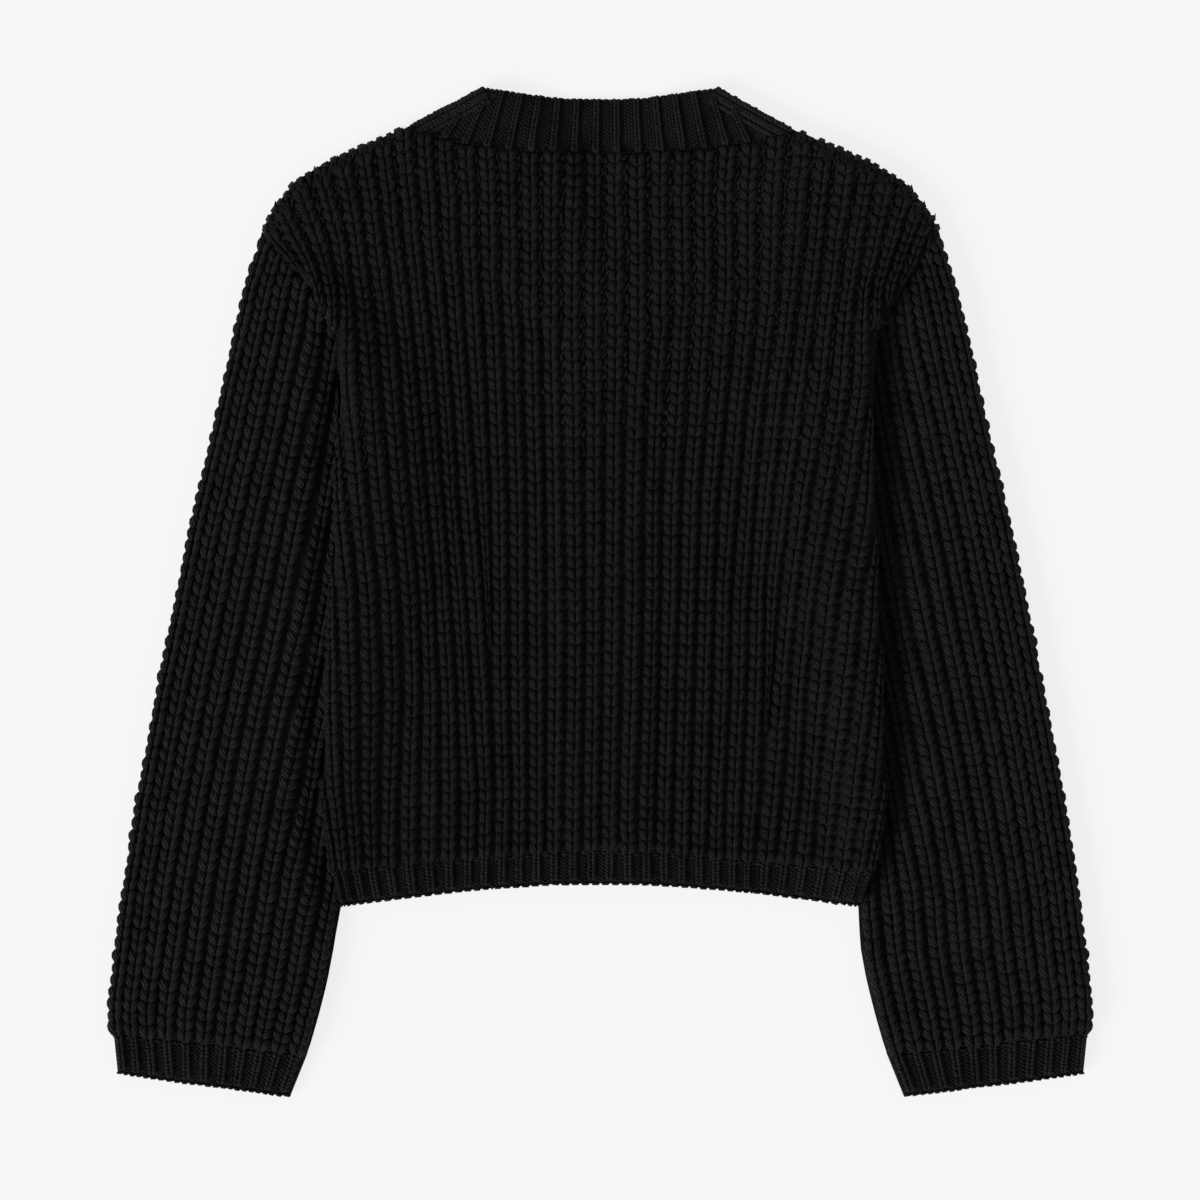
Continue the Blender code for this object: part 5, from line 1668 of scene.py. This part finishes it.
def make_band(word, side, lowest, with_buttons):
    surface, reach = band_under(side, lowest)
    steps_along, steps_across = FINE_BAND if with_buttons else PLAIN_BAND
    inner = grid_of(surface, np.linspace(0.0, reach, steps_along), np.linspace(0.0, 1.0, steps_across))
    outer = inner.copy()
    outer[..., 2] += band_wall(inner[..., 1]) - TRIM_UNDER
    if with_buttons:
        near = from_buttons(inner[..., 0], inner[..., 1]) < BUTTON_RADIUS + DIMPLE_MARGIN
        inner[..., 2] = np.where(near, BUTTON_THICKNESS + DIMPLE_GAP, inner[..., 2])
    shell = grid_object("band_%s_shell" % word, outer, inner, valley_trim_painted_light)
    limits = ((0.0, reach), (0.0, 1.0))
    width = 2.0 * BAND_HALF
    pitch = (NECK_WALE, width)

    def keep(spots):
        place = surface(spots[:, 0], spots[:, 1])
        if with_buttons:
            return from_buttons(place[:, 0], place[:, 1]) > BUTTON_RADIUS + BUTTON_CLEAR
        return place[:, 1] > V_START

    def lie_on(points):
        points[..., 2] = np.maximum(points[..., 2], STITCH_FLOOR + lowest * band_raise(points[..., 1]))
        return points

    stitches = trim("band_%s_stitches" % word, surface, limits, pitch, np.arange(int(reach)) + 0.5,
                    share_rows(width), NECK_BUMPS, below=True, keep=keep, press_to=lie_on)
    declare("band_" + word)


# Profile of a button from its middle outwards and round its rim: radius, height.
BUTTON_PROFILE = (
    (0.0, 0.55), (4.9, 0.55), (5.5, 0.35), (6.2, 0.08), (7.3, 0.0), (8.3, 0.12), (8.85, 0.5),
    (9.0, 1.0), (8.8, 1.6), (8.2, 1.95), (0.0, 2.0),
)
BUTTON_SIDES = 48
BUTTON_SHARP = 35.0
HOLE_SIDES = 20
HOLE_RADIUS = 1.1
HOLE_PLACE = 1.9
DRILL_LENGTH = 20.0
DRILL_HEIGHT = 1.0


def make_buttons():
    """Four-hole buttons whose rims lie on the floor, face down."""
    turns = np.linspace(0.0, 2.0 * math.pi, BUTTON_SIDES, endpoint=False)
    rings = BUTTON_PROFILE[1:-1]
    points = [(0.0, 0.0, BUTTON_PROFILE[0][1])]
    for radius, height in rings:
        points += [(radius * math.cos(t), radius * math.sin(t), height) for t in turns]
    points.append((0.0, 0.0, BUTTON_PROFILE[-1][1]))
    faces = []
    last = len(points) - 1
    for side in range(BUTTON_SIDES):
        after = (side + 1) % BUTTON_SIDES
        faces.append((0, 1 + after, 1 + side))
        for ring in range(len(rings) - 1):
            low = 1 + ring * BUTTON_SIDES
            high = low + BUTTON_SIDES
            faces.append((low + side, low + after, high + after, high + side))
        low = 1 + (len(rings) - 1) * BUTTON_SIDES
        faces.append((low + side, low + after, last))
    material = button_material()
    for number, height in enumerate(button_heights()):
        placed = np.array(points) + np.array((0.0, height, 0.0))
        made = new_object("button_%d_round" % (number + 1), placed, faces, material)
        for k in range(4):
            turn = math.pi * (0.25 + 0.5 * k)
            place = (HOLE_PLACE * math.cos(turn) * MM,
                     (height - MIDDLE_Y + HOLE_PLACE * math.sin(turn)) * MM, DRILL_HEIGHT * MM)
            bpy.ops.mesh.primitive_cylinder_add(vertices=HOLE_SIDES, radius=HOLE_RADIUS * MM,
                                                depth=DRILL_LENGTH * MM, location=place)
            drill = bpy.context.object
            cut = made.modifiers.new("hole", "BOOLEAN")
            cut.operation = "DIFFERENCE"
            cut.solver = "EXACT"
            cut.object = drill
            bpy.context.view_layer.objects.active = made
            bpy.ops.object.modifier_apply(modifier=cut.name)
            bpy.data.objects.remove(drill, do_unlink=True)
        made.data.set_sharp_from_angle(angle=math.radians(BUTTON_SHARP))
        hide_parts("button_%d" % (number + 1))


make_back()
for word, side in (("left", -1), ("right", 1)):
    make_front(word, side)
    make_sleeve(word, side)
    make_cuff(word, side)
make_hems()
make_neckband()
make_band("left", -1, BAND_STACK, False)
make_band("right", 1, 0.0, True)
make_buttons()

# ---------------------------------------------------------------- floor, light and camera

# Millimetres to a pixel of the photo, its size, and how far up it the garment's middle lies.
PHOTO_SCALE = 0.66
PHOTO_SIZE = 1200
PHOTO_MIDDLE = -6.5
LENS = 100.0
SENSOR = 36.0
# Height over the floor at which the picture has the photo's scale, and its shift.
SCALE_HEIGHT = 6.0
SHIFT_X = -0.35


FLOOR_HALF = 6.0
FLOOR_GREY = 0.10
FLOOR_GLOW = 0.82
WORLD_STRENGTH = 0.47
# Where the light comes from, how wide it is and how strong.
SUN_PLACE = (-0.80, -0.55, 0.55)
SUN_ANGLE = 24.0
SUN_STRENGTH = 3.7
WHITE = (1.0, 1.0, 1.0, 1.0)


def make_stage():
    mesh = bpy.data.meshes.new("floor")
    corners = [(x * FLOOR_HALF, y * FLOOR_HALF, 0) for x, y in ((-1, -1), (1, -1), (1, 1), (-1, 1))]
    mesh.from_pydata(corners, [], [(0, 1, 2, 3)])
    material, tree = new_material("floor_pale")
    set_inputs(tree, tree.nodes["Principled BSDF"], {
        "Base Color": (FLOOR_GREY, FLOOR_GREY, FLOOR_GREY, 1.0), "Roughness": 0.9,
        "Specular IOR Level": 0.0, "Emission Color": WHITE, "Emission Strength": FLOOR_GLOW,
    })
    mesh.materials.append(material)
    floor = bpy.data.objects.new("floor", mesh)
    bpy.context.scene.collection.objects.link(floor)
    floor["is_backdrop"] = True


def make_sun():
    light = bpy.data.lights.new("key", "SUN")
    light.angle = math.radians(SUN_ANGLE)
    light.energy = SUN_STRENGTH
    made = bpy.data.objects.new("key", light)
    made.rotation_euler = (-Vector(SUN_PLACE)).to_track_quat("-Z", "Y").to_euler()
    bpy.context.scene.collection.objects.link(made)


def make_camera():
    camera = bpy.data.cameras.new("camera")
    camera.lens = LENS
    camera.sensor_width = SENSOR
    wide = PHOTO_SIZE * PHOTO_SCALE * MM
    made = bpy.data.objects.new("camera", camera)
    middle_y = PHOTO_MIDDLE * PHOTO_SCALE - MIDDLE_Y
    made.location = (SHIFT_X * MM, middle_y * MM, wide * LENS / SENSOR + SCALE_HEIGHT * MM)
    bpy.context.scene.collection.objects.link(made)
    bpy.context.scene.camera = made


def make_world():
    world = bpy.data.worlds.new("world")
    bpy.context.scene.world = world
    world.use_nodes = True
    background = world.node_tree.nodes["Background"]
    set_inputs(world.node_tree, background, {"Color": WHITE, "Strength": WORLD_STRENGTH})


make_stage()
make_sun()
make_camera()
make_world()
bpy.context.scene.view_settings.view_transform = "Standard"
bpy.context.scene.view_settings.look = "None"

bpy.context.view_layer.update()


total = 0
for found in bpy.context.scene.objects:
    if found.type == "MESH" and not found.hide_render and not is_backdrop(found):
        found.data.calc_loop_triangles()
        total += len(found.data.loop_triangles)
        print("triangles", found.name, len(found.data.loop_triangles))
print("triangles in all", total)
